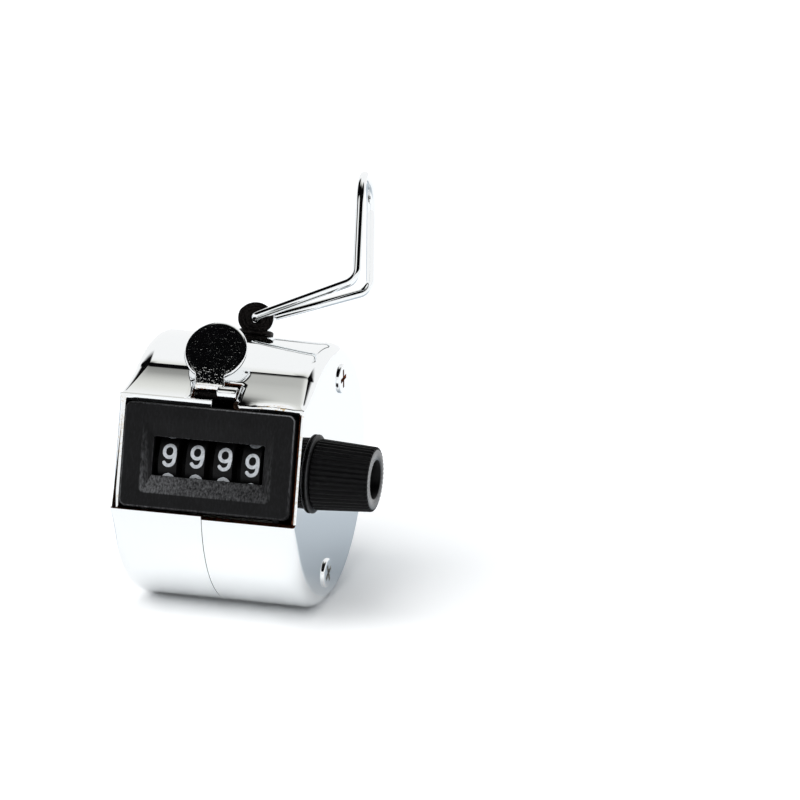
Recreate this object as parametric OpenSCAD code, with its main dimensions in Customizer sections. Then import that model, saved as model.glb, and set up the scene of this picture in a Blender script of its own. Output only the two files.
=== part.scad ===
// Hand tally counter: chromed drum case in two halves, four number wheels behind a window,
// a thumb lever that drives them, a reset knob and a swivelling finger ring.
// Lengths are in millimetres and angles in degrees. The pieces are drawn about the drum's axis, which
// lies along X, with the face upright towards -Y, and are then leaned back onto the table.

/* [Case] */
// Diameter of the drum
case_d = 42; // [38:0.5:46]
// Width of the case over both flat sides
case_w = 30; // [27:0.5:34]
// Thickness of the pressed metal
case_wall = 0.8; // [0.6:0.05:0.9]
// Rounding between the drum and its flat sides
edge_r = 2.4; // [1.4:0.1:3]
// How far the face leans back on the table
case_tilt = 14; // [6:0.5:20]
// Depth of the flat land under the drum
rest_cut = 0.25; // [0.1:0.05:0.4]
// Height of the front frame above the bezel
frame_h = 1.3; // [1.1:0.05:1.5]
// How far the ends of that flat draw in towards its upper edge
facet_draw = 1.9; // [1.8:0.1:2.4]
// Rounding of the upright edges beside the window
front_round = 0.8; // [0.5:0.05:0.8]

/* [Case screws] */
// Distance from each screw's axis to the outside of the drum
screw_in = 5.6; // [5:0.1:6.2]
// Distance of the screws behind the pawl pin
screw_back = 4.3; // [4:0.1:5]
// Diameter of a screw's head
screw_head_d = 4.7; // [4:0.1:5.2]
// Height of a screw's head
screw_head_h = 0.9; // [0.5:0.1:1.4]
// Diameter of a screw's shank
screw_d = 2; // [1.6:0.1:2.4]
// Length of a screw's shank
screw_len = 14; // [8:0.5:20]
// Diameter of the posts that the screws run into
post_core_d = 4.4; // [4:0.1:5]
// Diameter of the posts' shoulders outside the side plates
post_foot_d = 6.2; // [5.4:0.1:6.6]

/* [Bezel] */
// Gap between the bezel and the case's side walls
bezel_gap = 0.5; // [0.3:0.05:0.7]
// Height of the bezel
bezel_h = 16.4; // [15.5:0.1:17]
// Height of the bezel's middle above the drum's axis
bezel_z = 1.8; // [1.2:0.1:2.2]
// How far the bezel's face lies inside the drum's radius
bezel_set = 1.4; // [1:0.1:1.7]
// How far the bezel stands proud of the case beside it
bezel_proud = 0.9; // [0.8:0.05:1]
// Thickness of the bezel's face
bezel_plate = 1.8; // [1.5:0.1:1.9]
// Thickness of the bezel's skirt
bezel_skirt = 1.2; // [0.8:0.1:1.4]
// Depth of the bezel from its face to the back of its skirt
bezel_depth = 4.1; // [3.4:0.1:4.3]
// Rounding of the bezel's corners
bezel_r = 1.2; // [0.5:0.1:1.6]
// Height of the lips that keep the bezel in the case
bezel_lip = 1; // [0.8:0.1:1.2]
// Gap under the bezel in the left half of the case
gap_left = 0.5; // [0.3:0.05:0.8]
// Gap under the bezel in the right half of the case
gap_right = 1; // [0.5:0.05:1.2]
// Gap above the bezel
gap_top = 0.1; // [0.05:0.05:0.3]
// Width of the window
window_w = 18; // [17:0.1:19]
// Height of the window
window_h = 6.1; // [5:0.1:6.6]
// Width of the bevel beside the window
bevel_w = 1.35; // [0.8:0.05:2]
// Height of the bevel above and below the window
bevel_h = 2.5; // [1.5:0.1:3.2]
// Depth of the bevel
bevel_depth = 0.9; // [0.5:0.1:1.2]

/* [Number wheels] */
// Gap between the number wheels and the back of the bezel's face
wheel_gap = 0.3; // [0.2:0.05:0.5]
// Height of the shaft above the drum's axis
shaft_z = 0.75; // [0.3:0.05:1.2]
// Diameter of the shaft
shaft_d = 3; // [2.4:0.1:3.2]
// Diameter of a number wheel
wheel_d = 14.2; // [13.4:0.1:14.6]
// Distance between neighbouring wheels
wheel_pitch = 4.5; // [4.4:0.05:4.6]
// Width of the band that carries the figures
band_w = 3.1; // [2.9:0.05:3.2]
// Thickness of the band
band_t = 0.9; // [0.7:0.1:1.2]
// Width of a ratchet
ratchet_w = 1.1; // [0.9:0.05:1.15]
// Diameter over the ratchet's teeth
ratchet_d = 10.8; // [10:0.1:11]
// Depth of a ratchet tooth
tooth_h = 0.9; // [0.6:0.05:1]
// Diameter of a wheel's hub
hub_d = 5.2; // [4.8:0.1:5.6]
// Thickness of a wheel's web
web_t = 1; // [0.8:0.05:1.2]
// Thickness of the washers between the wheels
washer_t = 0.2; // [0.1:0.05:0.2]
// Diameter of the washers between the wheels
washer_d = 5; // [4.6:0.1:6]
// Width of the leaf inside a wheel
click_w = 1.2; // [0.8:0.1:1.6]
// Thickness of the leaf inside a wheel
click_t = 0.5; // [0.3:0.05:0.7]
// Width of the groove along the shaft
groove_w = 0.8; // [0.6:0.05:1]
// Depth of the groove along the shaft
groove_h = 0.4; // [0.3:0.05:0.6]

/* [Frame inside] */
// Distance from the middle to a side plate's inner face
plate_x = 10.2; // [10.2:0.1:10.8]
// Thickness of a side plate
plate_t = 1; // [0.8:0.1:1.2]
// Gap between the side plates and the drum
plate_gap = 0.4; // [0.2:0.05:0.8]
// Diameter of the hole that lightens a side plate
plate_hole_d = 11; // [8:0.5:12]
// Outer diameter of a shaft bush
bush_d = 4.6; // [4.2:0.1:5.4]
// Thickness of a shaft bush's flange
bush_flange = 0.5; // [0.3:0.05:0.5]
// Diameter of the tie rods
rod_d = 2.4; // [2:0.1:3]
// Distance from the front rod's axis to a side plate's rim
rod_in = 2.2; // [2:0.1:2.6]
// Gap between the front rod and the lever's arm
rod_gap = 1.4; // [1.2:0.1:1.6]
// Distance from the rear rods' axes to a side plate's rim
rear_rod_in = 6; // [5:0.1:7]
// Drum angle of the rear rods above and below the level
rear_rod_angle = 30; // [24:1:36]
// Diameter of the tenons at the ends of the rods
tenon_d = 1.6; // [1:0.1:1.8]
// Depth of the bar that carries the detent comb
bar_y = 3.6; // [3:0.1:4.4]
// Height of the bar that carries the detent comb
bar_z = 2.4; // [2:0.1:3]
// Distance of the bar behind the shaft
bar_back = 5.4; // [5:0.1:6]
// Gap between the wheels and the level of the bar
bar_gap = 1.3; // [1.1:0.1:1.6]
// Thickness of the detent comb
comb_t = 0.4; // [0.3:0.05:0.5]
// Width of a finger of the comb or the pawl
finger_w = 0.7; // [0.5:0.05:0.8]
// Diameter of the detent screws
comb_screw_d = 1.4; // [1.2:0.1:1.6]
// Head diameter of the detent screws
comb_head_d = 2.6; // [2.2:0.1:2.8]
// Head height of the detent screws
comb_head_h = 0.65; // [0.5:0.05:0.8]
// Thickness of the clip on the shaft's left end
clip_t = 0.4; // [0.3:0.05:0.5]
// Depth of the clip's groove
clip_h = 0.3; // [0.2:0.05:0.4]
// Width of the clip's rim
clip_w = 1.2; // [1:0.1:1.6]

/* [Thumb lever] */
// Sideways place of the lever
lever_x = -0.8; // [-1:0.1:0]
// Thickness of the lever
lever_t = 0.9; // [0.7:0.05:1]
// Diameter of the thumb pad
pad_d = 10.1; // [9:0.1:11]
// Length of the lever from its bend to the tip of the pad
pad_reach = 12.2; // [11:0.1:13]
// Width of the neck under the pad
neck_w = 4.8; // [4:0.1:5]
// Lean of the pad from upright
pad_lean = 28.5; // [24:0.5:32]
// Height of the lever's bend above the front frame
bend_rise = 1.32; // [1.2:0.02:1.5]
// Distance of the lever's bend behind the front frame
bend_in = 0.6; // [0.5:0.02:0.7]
// Distance of the hinge pin behind the lever's bend
pivot_in = 3.8; // [3.6:0.1:4]
// Drop of the hinge pin below the lever's bend
pivot_drop = 0.92; // [0.8:0.02:1]
// Diameter of the hinge pin
pivot_d = 1.4; // [1.2:0.1:1.6]
// Diameter of the lever's hub
pivot_hub_d = 2.6; // [2.4:0.1:2.8]
// Distance from the hinge pin back to the pawl pin
arm_len = 11; // [10.4:0.1:11.2]
// Drop of the pawl pin below the hinge pin
arm_drop = 0.7; // [0.4:0.1:1]
// Height of the arm
arm_h = 1.6; // [1.2:0.1:1.8]
// How far the lever turns when it is pressed
press_angle = 16; // [14:0.5:16]
// Reach of the slot to the left of the seam
slot_left = 3.6; // [3.5:0.1:4.2]
// Reach of the slot to the right of the seam
slot_right = 4; // [2.2:0.1:4.6]
// Distance from the front frame's edge up to the slot in the left half
slot_low = 0.35; // [0.3:0.01:0.4]
// Distance from the front frame's edge up to the slot's far end
slot_high = 3.9; // [3.8:0.1:4.4]

/* [Pawl] */
// Gap from the pawl and the detents to the ratchets' tips
pawl_gap = 0.35; // [0.2:0.05:0.5]
// Thickness of a pawl finger
pawl_t = 1.2; // [0.8:0.1:1.4]
// Diameter of the pawl pin
pawl_pin_d = 1.2; // [1:0.1:1.4]
// Diameter of the pawl's hubs
pawl_hub_d = 2.6; // [2.2:0.1:2.8]
// Width of each pawl hub
pawl_hub_w = 1.6; // [1.2:0.1:1.8]
// Wire of the springs
spring_wire = 0.4; // [0.3:0.05:0.5]
// Gap between the turns of the springs
spring_gap = 0.45; // [0.41:0.01:0.5]

/* [Knob] */
// Diameter of the knob's flange
flange_d = 12.3; // [11.8:0.1:13]
// Diameter of the knob beside the flange
knob_d = 11.2; // [10.8:0.1:11.6]
// Diameter of the knob at its end
knob_end_d = 10.15; // [9.6:0.05:10.6]
// Length of the knob
knob_len = 9.6; // [8.5:0.1:12]
// Thickness of the knob's flange
flange_t = 0.9; // [0.6:0.1:1.2]
// Length of the hub between the case and the flange
knob_hub = 0.4; // [0.3:0.1:1]
// Diameter of the hollow in the knob's end
knob_hole_d = 6; // [5.2:0.1:6.6]
// Depth of the hollow in the knob's end
knob_hole = 3.4; // [2:0.1:4]
// Height of the head of the knob's screw
knob_head_h = 1.4; // [1:0.1:1.8]
// Depth of the knob's screw in the shaft
knob_screw_len = 3.5; // [2.5:0.1:4]
// Diameter of the knob's screw
knob_screw_d = 1.5; // [1.2:0.1:1.6]
// Gap around the head of the knob's screw
knob_head_gap = 0.6; // [0.4:0.05:0.8]
// Number of grooves around the knob
rib_count = 32; // [20:1:40]
// Depth of the grooves
rib_h = 0.25; // [0.1:0.05:0.35]
// Thickness of the washer behind the knob
knob_washer_t = 0.2; // [0.1:0.05:0.3]

/* [Finger ring] */
// Drum angle of the swivel post
post_angle = 97; // [95:0.5:101]
// Diameter of the post's barrel head
barrel_d = 5.7; // [5.2:0.1:6]
// Length of the barrel head
barrel_len = 3.8; // [3.4:0.1:4.4]
// Height of the barrel's middle above the drum
barrel_h = 2.75; // [2.6:0.05:3.2]
// Diameter of the post's flange
post_flange_d = 5.7; // [5.2:0.1:6.4]
// Thickness of the post's flange
post_flange_t = 0.8; // [0.6:0.1:1]
// Diameter of the post's stem
stem_d = 3; // [2.6:0.1:3.4]
// Thickness of the collar that keeps the post in the case
collar_t = 0.8; // [0.6:0.1:1]
// Diameter of the ring's wire
wire_d = 1.45; // [1.2:0.05:1.7]
// Turn of the post from square to the case
swivel = 7.5; // [0:0.5:15]
// Length of each leg of the ring
leg_len = 17.7; // [17:0.1:20]
// Lift of the legs above the post's flange
leg_lift = 23; // [18:0.5:35]
// Spacing of the legs at the bend
bend_span = 17; // [14:0.5:19]
// Length of the loop beyond the bend
loop_len = 17.3; // [15:0.1:20]
// Angle of the loop above the post's flange
loop_lift = 94.7; // [85:0.1:100]
// Spacing of the loop's upper corners
loop_span = 12.4; // [12:0.1:14]
// Rounding at the hooks
hook_r = 1.1; // [1:0.05:1.3]
// Rounding at the bends
bend_round = 2.2; // [1.8:0.1:2.6]
// Rounding at the loop's upper corners
loop_round = 5.9; // [5:0.1:5.9]

/* [Clearances] */
// Radial clearance of running fits
run_gap = 0.03; // [0.02:0.01:0.08]
// Radial clearance of fixed fits
fit_gap = 0.02; // [0.01:0.01:0.05]
// Gap between faces that slide past each other
face_gap = 0.05; // [0.03:0.01:0.06]
// Gap around pieces that pass through the case
pass_gap = 0.3; // [0.2:0.05:0.4]
// Room beyond the end of a screw
tap_room = 1; // [0.5:0.1:2]

/* [Hidden] */
$fn = 72;
eps = 0.01;
far = 60;
drum_r = case_d / 2;
half_w = case_w / 2;
inner_r = drum_r - case_wall;
inner_x = half_w - case_wall;
rest_h = drum_r - rest_cut;
bezel_w = case_w - 2 * (case_wall + bezel_gap);
bezel_front = drum_r - bezel_set;
side_front = bezel_front - bezel_proud;
bezel_top = bezel_z + bezel_h / 2;
frame_top = bezel_top + frame_h;
// The flat above the window runs from the front frame's upper edge back to the drum
facet_foot = [-side_front, frame_top];
facet_high = atan2(frame_top, side_front) + acos(drum_r / norm(facet_foot));
facet_end = drum_r * [-cos(facet_high), sin(facet_high)];
facet_len = norm(facet_end - facet_foot);
facet_dir = (facet_end - facet_foot) / facet_len;
facet_out = [-facet_dir.y, facet_dir.x];
facet_angle = atan2(facet_out.y, -facet_out.x);
facet_r = facet_foot * facet_out;
inner_foot = [case_wall - side_front, frame_top - case_wall * (1 + facet_out.x) / facet_out.y];
bezel_bottom = bezel_z - bezel_h / 2;
bezel_back = bezel_front - bezel_depth;
plate_back = bezel_front - bezel_plate;
plate_out = plate_x + plate_t;
plate_r = inner_r - plate_gap;
screw_z = drum_r - screw_in;
chrome = "silver";
black = [0.1, 0.1, 0.11];
steel = "lightgray";
brass = [0.72, 0.58, 0.3];

// Places of the wheels from left to right, and of the gaps that the ratchets show through
wheel_count = 4;
wheel_x = [for (i = [0 : wheel_count - 1]) (i - (wheel_count - 1) / 2) * wheel_pitch];
wheel_half = band_w / 2;
wheel_w = band_w + ratchet_w;
finger_shift = wheel_pitch / 2;
teeth = 10;
ratchet_r = ratchet_d / 2;

// The lever's pins, before and after a press
bend = facet_foot + [bend_in, bend_rise];
pivot = bend + [pivot_in, -pivot_drop];
arm = [arm_len, -arm_drop];
pawl_pin_at = pivot + arm;
function turned(v, a) = [v.x * cos(a) + v.y * sin(a), v.y * cos(a) - v.x * sin(a)];
stroke = turned(arm, press_angle) - arm;
shaft = [wheel_d / 2 + wheel_gap - plate_back, shaft_z];
pawl_arc = shaft - stroke;
pawl_in = ratchet_r + pawl_gap;
pawl_out = wheel_d / 2 + pawl_gap;
pawl_pin_angle = atan2(pawl_pin_at.y - pawl_arc.y, pawl_pin_at.x - pawl_arc.x);
pawl_pin_r = norm(pawl_pin_at - pawl_arc);
lever_half = neck_w / 2;
screw_y = pawl_pin_at.x + screw_back;

// The rods and the bar between the side plates
rod_z = pivot.y + arm_h / 2 + rod_gap + rod_d / 2;
rod_r = plate_r - rod_in;
rear_r = plate_r - rear_rod_in;
rear_rod = rear_r * [cos(rear_rod_angle), sin(rear_rod_angle)];
rods = [[-sqrt(rod_r * rod_r - rod_z * rod_z), rod_z], rear_rod, [rear_rod.x, -rear_rod.y]];
bar = [shaft.x + bar_back, shaft.y - wheel_d / 2 - bar_gap - bar_z];
comb_z = bar.y + bar_z;

// The knob starts outside its washer
knob_x = half_w + knob_washer_t + 2 * face_gap;
flange_x = knob_x + knob_hub;
grip_x = flange_x + flange_t;
knob_end = knob_x + knob_len;
knob_floor = knob_end - knob_hole;
clip_x = -plate_out - 1.2 + clip_t;
shaft_left = clip_x - clip_t;

// The ring's wire
wire_r = wire_d / 2;
hook_w = barrel_len / 2 + pass_gap + wire_r;

// Leans what is drawn about the drum's axis back and stands it on its flat land
module stand() {
    translate([0, 0, rest_h]) rotate([-case_tilt, 0, 0]) children();
}

// A round bar along X
module bar_x(x0, x1, d) {
    translate([x0, 0, 0]) rotate([0, 90, 0]) cylinder(h = x1 - x0, d = d);
}

// A tube along X
module tube_x(x0, x1, d, bore) {
    difference() {
        bar_x(x0, x1, d);
        bar_x(x0 - eps, x1 + eps, bore);
    }
}

// A Y-Z outline given a width along X
module slab(x0, x1) {
    translate([x0, 0, 0]) rotate([90, 0, 90]) linear_extrude(x1 - x0) children();
}

// Moves to a place in the Y-Z plane
module at(p) {
    translate([0, p.x, p.y]) children();
}

// Turns so that Z points out of the drum at an angle above the front
module on_drum(a) {
    rotate([90 - a, 0, 0]) children();
}

// A sector of a ring in the plane
module sector(r0, r1, a0, a1) {
    reach = 2 * r1;
    intersection() {
        difference() {
            circle(r1);
            circle(r0);
        }
        polygon([[0, 0], for (i = [0 : 4]) reach * [cos(a0 + (a1 - a0) * i / 4), sin(a0 + (a1 - a0) * i / 4)]]);
    }
}

// A rectangle with round corners
module round_rect(w, h, r) {
    union() {
        square([w - 2 * r, h], center = true);
        square([w, h - 2 * r], center = true);
        for (x = [-1, 1], y = [-1, 1]) translate([x * (w / 2 - r), y * (h / 2 - r)]) circle(r);
    }
}

// A closed cup about X, open at the seam
module cup(r, w, corner) {
    rotate([0, 90, 0]) rotate_extrude() union() {
        square([r - corner, w]);
        square([r, w - corner]);
        translate([r - corner, w - corner]) circle(corner);
    }
}

// Takes the front of a half away down to the plane beside the bezel, and rounds its upright edge
module face_cut(low) {
    height = drum_r - low;
    translate([0, -drum_r - 1, low]) cube([case_w, drum_r + 1 - side_front, height]);
    translate([half_w - front_round, -side_front + front_round, low]) difference() {
        translate([0, -far, 0]) cube([far, far, height]);
        translate([0, 0, -1]) cylinder(h = height + 2, r = front_round);
    }
}

// Front frame and the flat above it, whose ends slope down to the side towards the drum
module front_wedge(low) {
    foot = facet_foot * facet_dir;
    draw = atan(facet_draw / facet_len);
    difference() {
        slab(0, half_w) polygon([[-side_front, low], facet_foot, facet_end, [-side_front / 2, 0]]);
        on_drum(facet_angle) translate([half_w, foot, facet_r]) rotate([0, 0, draw]) rotate([0, 45, 0]) {
            translate([-case_w / 2, -case_d / 2, 0]) cube([case_w, case_d, case_d]);
        }
    }
}

// One half of the case, drawn as the right one
module case_half(side, gap, slot_reach, slot_from) {
    low = bezel_bottom - gap;
    open_h = bezel_top + gap_top - low;
    foot = facet_foot * facet_dir;
    slot_deep = 3 * case_wall;
    mirror([side < 0 ? 1 : 0, 0, 0]) difference() {
        union() {
            difference() {
                union() {
                    cup(drum_r, half_w, edge_r);
                    front_wedge(low);
                }
                cup(inner_r, inner_x, edge_r - case_wall);
                slab(-eps, inner_x - edge_r) {
                    polygon([[case_wall - side_front, 0], inner_foot, facet_end - case_wall * facet_out, [0, 0]]);
                }
            }
            for (z = [-1, 1]) at([screw_y, z * screw_z]) bar_x(plate_out, inner_x + eps, post_foot_d);
            if (side < 0) for (z = [-1, 1]) at([screw_y, z * screw_z]) {
                bar_x(-plate_out + face_gap, plate_out + eps, post_core_d);
            }
        }
        face_cut(low);
        translate([-eps, -far, low]) cube([inner_x + eps, far - bezel_back + 1, open_h]);
        on_drum(facet_angle) translate([-eps, foot + slot_from, facet_r - slot_deep]) {
            cube([slot_reach + eps, slot_high - slot_from, 2 * slot_deep]);
        }
        if (slot_from < 0) translate([-eps, -side_front - 1, bezel_top]) {
            cube([slot_reach + eps, 1 + 2 * case_wall, frame_h + case_wall]);
        }
        on_drum(post_angle) translate([0, 0, inner_r - 1]) cylinder(h = 4, d = stem_d + 2 * run_gap);
        rotate([case_tilt, 0, 0]) translate([-1, -drum_r, -drum_r - 1]) cube([case_w, case_d, 1 + rest_cut]);
        for (z = [-1, 1]) at([screw_y, z * screw_z]) {
            bar_x(-far, side > 0 ? far : screw_len - half_w + tap_room, screw_d + 2 * fit_gap);
        }
        if (side > 0) at(shaft) bar_x(inner_x - 1, half_w + 1, shaft_d + 2 * pass_gap);
    }
}

module case_left() {
    color(chrome) stand() case_half(-1, gap_left, slot_left, slot_low);
}

module case_right() {
    color(chrome) stand() case_half(1, gap_right, slot_right, -case_wall / 2);
}

// Cross-head screw with its head outside the right half
module case_screw() {
    slot_w = screw_head_d / 8;
    slot_l = screw_head_d * 0.6;
    difference() {
        union() {
            bar_x(half_w, half_w + screw_head_h, screw_head_d);
            bar_x(half_w - screw_len, half_w + eps, screw_d);
        }
        for (a = [0, 90]) rotate([a, 0, 0]) {
            translate([half_w + screw_head_h / 2, -slot_l / 2, -slot_w / 2]) cube([screw_head_h, slot_l, slot_w]);
        }
    }
}

module case_screws() {
    color(steel) stand() for (z = [-1, 1]) at([screw_y, z * screw_z]) case_screw();
}

// Window frame with a bevel round its window, a skirt and lips behind the case
module bezel() {
    lip_back = -bezel_back - bezel_skirt;
    color(black) stand() difference() {
        union() {
            translate([0, -bezel_front, bezel_z]) rotate([-90, 0, 0]) {
                linear_extrude(bezel_depth) round_rect(bezel_w, bezel_h, bezel_r);
            }
            for (x = [-1, 1]) translate([x * (inner_x - 3) - 2, lip_back, bezel_bottom - bezel_lip]) {
                cube([4, bezel_skirt, bezel_h + 2 * bezel_lip]);
            }
        }
        translate([0, -plate_back, bezel_z]) rotate([-90, 0, 0]) {
            linear_extrude(bezel_depth) square([2 * plate_out + 2 * pass_gap, bezel_h - 2 * bezel_skirt], center = true);
        }
        translate([0, -bezel_front - 1, bezel_z]) rotate([-90, 0, 0]) {
            linear_extrude(bezel_depth) square([window_w, window_h], center = true);
        }
        bevel_cut();
    }
}

// The four slopes of the bevel as one frustum
module bevel_cut() {
    x0 = window_w / 2;
    z0 = window_h / 2;
    translate([0, -bezel_front, bezel_z]) intersection() {
        rotate([90, 0, 0]) translate([0, 0, -bevel_depth]) linear_extrude(bevel_depth + 1) {
            square([window_w + 2 * bevel_w, window_h + 2 * bevel_h], center = true);
        }
        translate([0, 0, -far / 2]) linear_extrude(far) {
            polygon([[-x0, bevel_depth], [x0, bevel_depth], [x0 + 2 * bevel_w, -bevel_depth],
                [-x0 - 2 * bevel_w, -bevel_depth]]);
        }
        slab(-far / 2, far / 2) {
            polygon([[bevel_depth, -z0], [bevel_depth, z0], [-bevel_depth, z0 + 2 * bevel_h],
                [-bevel_depth, -z0 - 2 * bevel_h]]);
        }
    }
}

// Plate that carries the shaft, the lever pin, the rods and the bar
module side_plate(x0) {
    nose_h = bezel_h - 2 * bezel_skirt - 2 * pass_gap;
    shoulder = bezel_back - pass_gap;
    slab(x0, x0 + plate_t) difference() {
        union() {
            intersection() {
                circle(plate_r);
                translate([-shoulder, -drum_r]) square([drum_r + shoulder, case_d]);
            }
            translate([-plate_back, bezel_z - nose_h / 2]) square([plate_back - shoulder + 1, nose_h]);
        }
        translate(shaft) circle(d = bush_d + 2 * fit_gap);
        translate(pivot) circle(d = pivot_d + 2 * fit_gap);
        for (p = rods) translate(p) circle(d = tenon_d + 2 * fit_gap);
        for (z = [-1, 1]) translate([screw_y, z * screw_z]) circle(d = post_core_d + 2 * fit_gap);
        translate(bar + [bar_y, bar_z] / 2) circle(d = tenon_d + 2 * fit_gap);
        translate([plate_r - rear_rod_in - plate_hole_d / 2, 0]) circle(d = plate_hole_d);
    }
}

module side_plate_left() {
    color(steel) stand() side_plate(-plate_out);
}

module side_plate_right() {
    color(steel) stand() side_plate(plate_x);
}

// Rods with a tenon in each side plate
module tie_rods() {
    color(steel) stand() for (p = rods) at(p) {
        bar_x(-plate_x, plate_x, rod_d);
        bar_x(-plate_out, plate_out, tenon_d);
    }
}

// Flat bar under the wheels
module detent_bar() {
    color(steel) stand() difference() {
        union() {
            translate([-plate_x, bar.x, bar.y]) cube([2 * plate_x, bar_y, bar_z]);
            at(bar + [bar_y, bar_z] / 2) bar_x(-plate_out, plate_out, tenon_d);
        }
        comb_holes();
    }
}

// Places of the detent screws
module comb_screw_places() {
    for (x = [-1, 1]) translate([x * wheel_pitch, bar.x + bar_y / 2, comb_z]) children();
}

module comb_holes() {
    comb_screw_places() translate([0, 0, -bar_z - 1]) cylinder(h = bar_z + 4, d = comb_screw_d + 2 * fit_gap);
}

// Spring leaf with one finger below each ratchet
module detent_comb() {
    tip = shaft + pawl_in * [cos(-62), sin(-62)];
    tip_out = shaft + (pawl_in + comb_t) * [cos(-62), sin(-62)];
    x0 = wheel_x[0] + finger_shift - finger_w;
    x1 = wheel_x[wheel_count - 1] + finger_shift + finger_w / 2;
    color(brass) stand() difference() {
        union() {
            translate([x0, bar.x, comb_z]) cube([x1 - x0, bar_y, comb_t]);
            for (x = wheel_x) slab(x + finger_shift - finger_w / 2, x + finger_shift + finger_w / 2) {
                polygon([[bar.x + comb_t, comb_z], [bar.x + comb_t, comb_z + comb_t], tip, tip_out]);
            }
        }
        comb_holes();
    }
}

module detent_screws() {
    color(steel) stand() comb_screw_places() {
        translate([0, 0, comb_t]) cylinder(h = comb_head_h, d = comb_head_d);
        translate([0, 0, -bar_z]) cylinder(h = bar_z + comb_t + eps, d = comb_screw_d);
    }
}

// Flanged bush in each side plate
module shaft_bushes() {
    bore = shaft_d + 2 * run_gap;
    color(brass) stand() at(shaft) for (side = [0, 1]) mirror([side, 0, 0]) difference() {
        union() {
            bar_x(plate_x - bush_flange, plate_x, bush_d + 1.2);
            bar_x(plate_x - eps, plate_out + 0.2, bush_d);
        }
        bar_x(0, far, bore);
    }
}

// Grooved shaft, tapped at its right end for the knob's screw
module reset_shaft() {
    color(steel) stand() at(shaft) difference() {
        bar_x(shaft_left, knob_floor, shaft_d);
        translate([-plate_x + 1, -groove_w / 2, shaft_d / 2 - groove_h]) {
            cube([2 * plate_x - 2, groove_w, shaft_d]);
        }
        bar_x(knob_floor - knob_screw_len - fit_gap, far, knob_screw_d + 2 * fit_gap);
        clip_groove();
    }
}

module clip_groove() {
    tube_x(clip_x - fit_gap, clip_x + clip_t + fit_gap, 2 * shaft_d, shaft_d - 2 * clip_h);
}

// Open ring in the shaft's groove
module shaft_clip() {
    mouth = shaft_d / 2;
    color(steel) stand() at(shaft) difference() {
        tube_x(clip_x, clip_x + clip_t, shaft_d + 2 * clip_w, shaft_d - 2 * clip_h + 2 * fit_gap);
        translate([clip_x - clip_t, -mouth / 2, 0]) cube([3 * clip_t, mouth, 2 * shaft_d]);
    }
}

// Spacers that keep the wheels apart on the shaft
module wheel_washers() {
    bore = shaft_d + 2 * fit_gap;
    left = -plate_x + bush_flange + face_gap;
    last = wheel_x[wheel_count - 1] + wheel_half + ratchet_w;
    color(brass) stand() at(shaft) {
        tube_x(left, wheel_x[0] - wheel_half - face_gap, washer_d, bore);
        for (i = [1 : wheel_count - 1]) {
            mid = (wheel_x[i] - wheel_half + wheel_x[i - 1] + wheel_half + ratchet_w) / 2;
            tube_x(mid - washer_t / 2, mid + washer_t / 2, washer_d, bore);
        }
        tube_x(last + face_gap, plate_x - bush_flange - face_gap, washer_d, bore);
    }
}

// Saw-toothed outline of a ratchet
module ratchet_outline() {
    polygon([for (i = [0 : teeth - 1], tip = [1, 0])
        let(a = 360 * i / teeth, r = ratchet_r - (1 - tip) * tooth_h)
        r * [cos(a), sin(a)]]);
}

// Number wheel: band, web, slotted hub and ratchet
module number_wheel(x) {
    left = x - wheel_half;
    right = x + wheel_half;
    band_bore = wheel_d - 2 * band_t;
    difference() {
        union() {
            tube_x(left, right, wheel_d, band_bore);
            bar_x(right - web_t, right, band_bore + 2 * eps);
            bar_x(left, right + eps, hub_d);
            slab(right - eps, right + ratchet_w) ratchet_outline();
        }
        bar_x(left - 1, right + ratchet_w + 1, shaft_d + 2 * run_gap);
        translate([left - 1, -click_t, 0]) cube([1 + band_w - web_t, 2 * click_t, hub_d]);
    }
}

// Leaf from the band in to the shaft's groove
module click(x) {
    inside = wheel_d / 2 - band_t - fit_gap;
    reach = sqrt(inside * inside - click_t * click_t / 4) - fit_gap;
    tip = shaft_d / 2 + 2 * run_gap;
    right = x + wheel_half - web_t;
    translate([right - click_w, -click_t / 2, tip]) cube([click_w, click_t, reach - tip]);
}

module wheel_at(i) {
    color(black) stand() at(shaft) number_wheel(wheel_x[i]);
}

module click_at(i) {
    color(brass) stand() at(shaft) click(wheel_x[i]);
}

// Ribbed knob with a hub, a bevelled flange and a hollow end
module knob() {
    taper = (knob_d - knob_end_d) / 2;
    grip = knob_end - grip_x;
    lean = atan(taper / grip);
    rib_w = PI * knob_d / rib_count / 2;
    color(black) stand() at(shaft) difference() {
        union() {
            bar_x(knob_x, flange_x + eps, knob_d - 0.5);
            translate([flange_x, 0, 0]) rotate([0, 90, 0]) {
                cylinder(h = flange_t / 2, d1 = knob_d - 0.5, d2 = flange_d);
                translate([0, 0, flange_t / 2]) cylinder(h = flange_t / 2, d1 = flange_d, d2 = knob_d);
            }
            translate([grip_x - eps, 0, 0]) rotate([0, 90, 0]) cylinder(h = grip + eps, d1 = knob_d, d2 = knob_end_d);
        }
        for (i = [0 : rib_count - 1]) rotate([360 * i / rib_count, 0, 0]) {
            translate([grip_x + 0.3, 0, knob_d / 2 - rib_h]) rotate([0, lean, 0]) {
                translate([0, -rib_w / 2, 0]) cube([grip + 1, rib_w, 2]);
            }
        }
        bar_x(knob_floor, far, knob_hole_d);
        bar_x(knob_x - 1, far, shaft_d + 2 * fit_gap);
    }
}

// Screw in the knob's hollow end
module knob_screw() {
    head = knob_hole_d - 2 * knob_head_gap;
    slot_w = head / 8;
    color(black) stand() at(shaft) difference() {
        union() {
            bar_x(knob_floor, knob_floor + knob_head_h, head);
            bar_x(knob_floor - knob_screw_len, knob_floor + eps, knob_screw_d);
        }
        translate([knob_floor + knob_head_h / 2, -head, -slot_w / 2]) cube([knob_head_h, 2 * head, slot_w]);
    }
}

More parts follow.
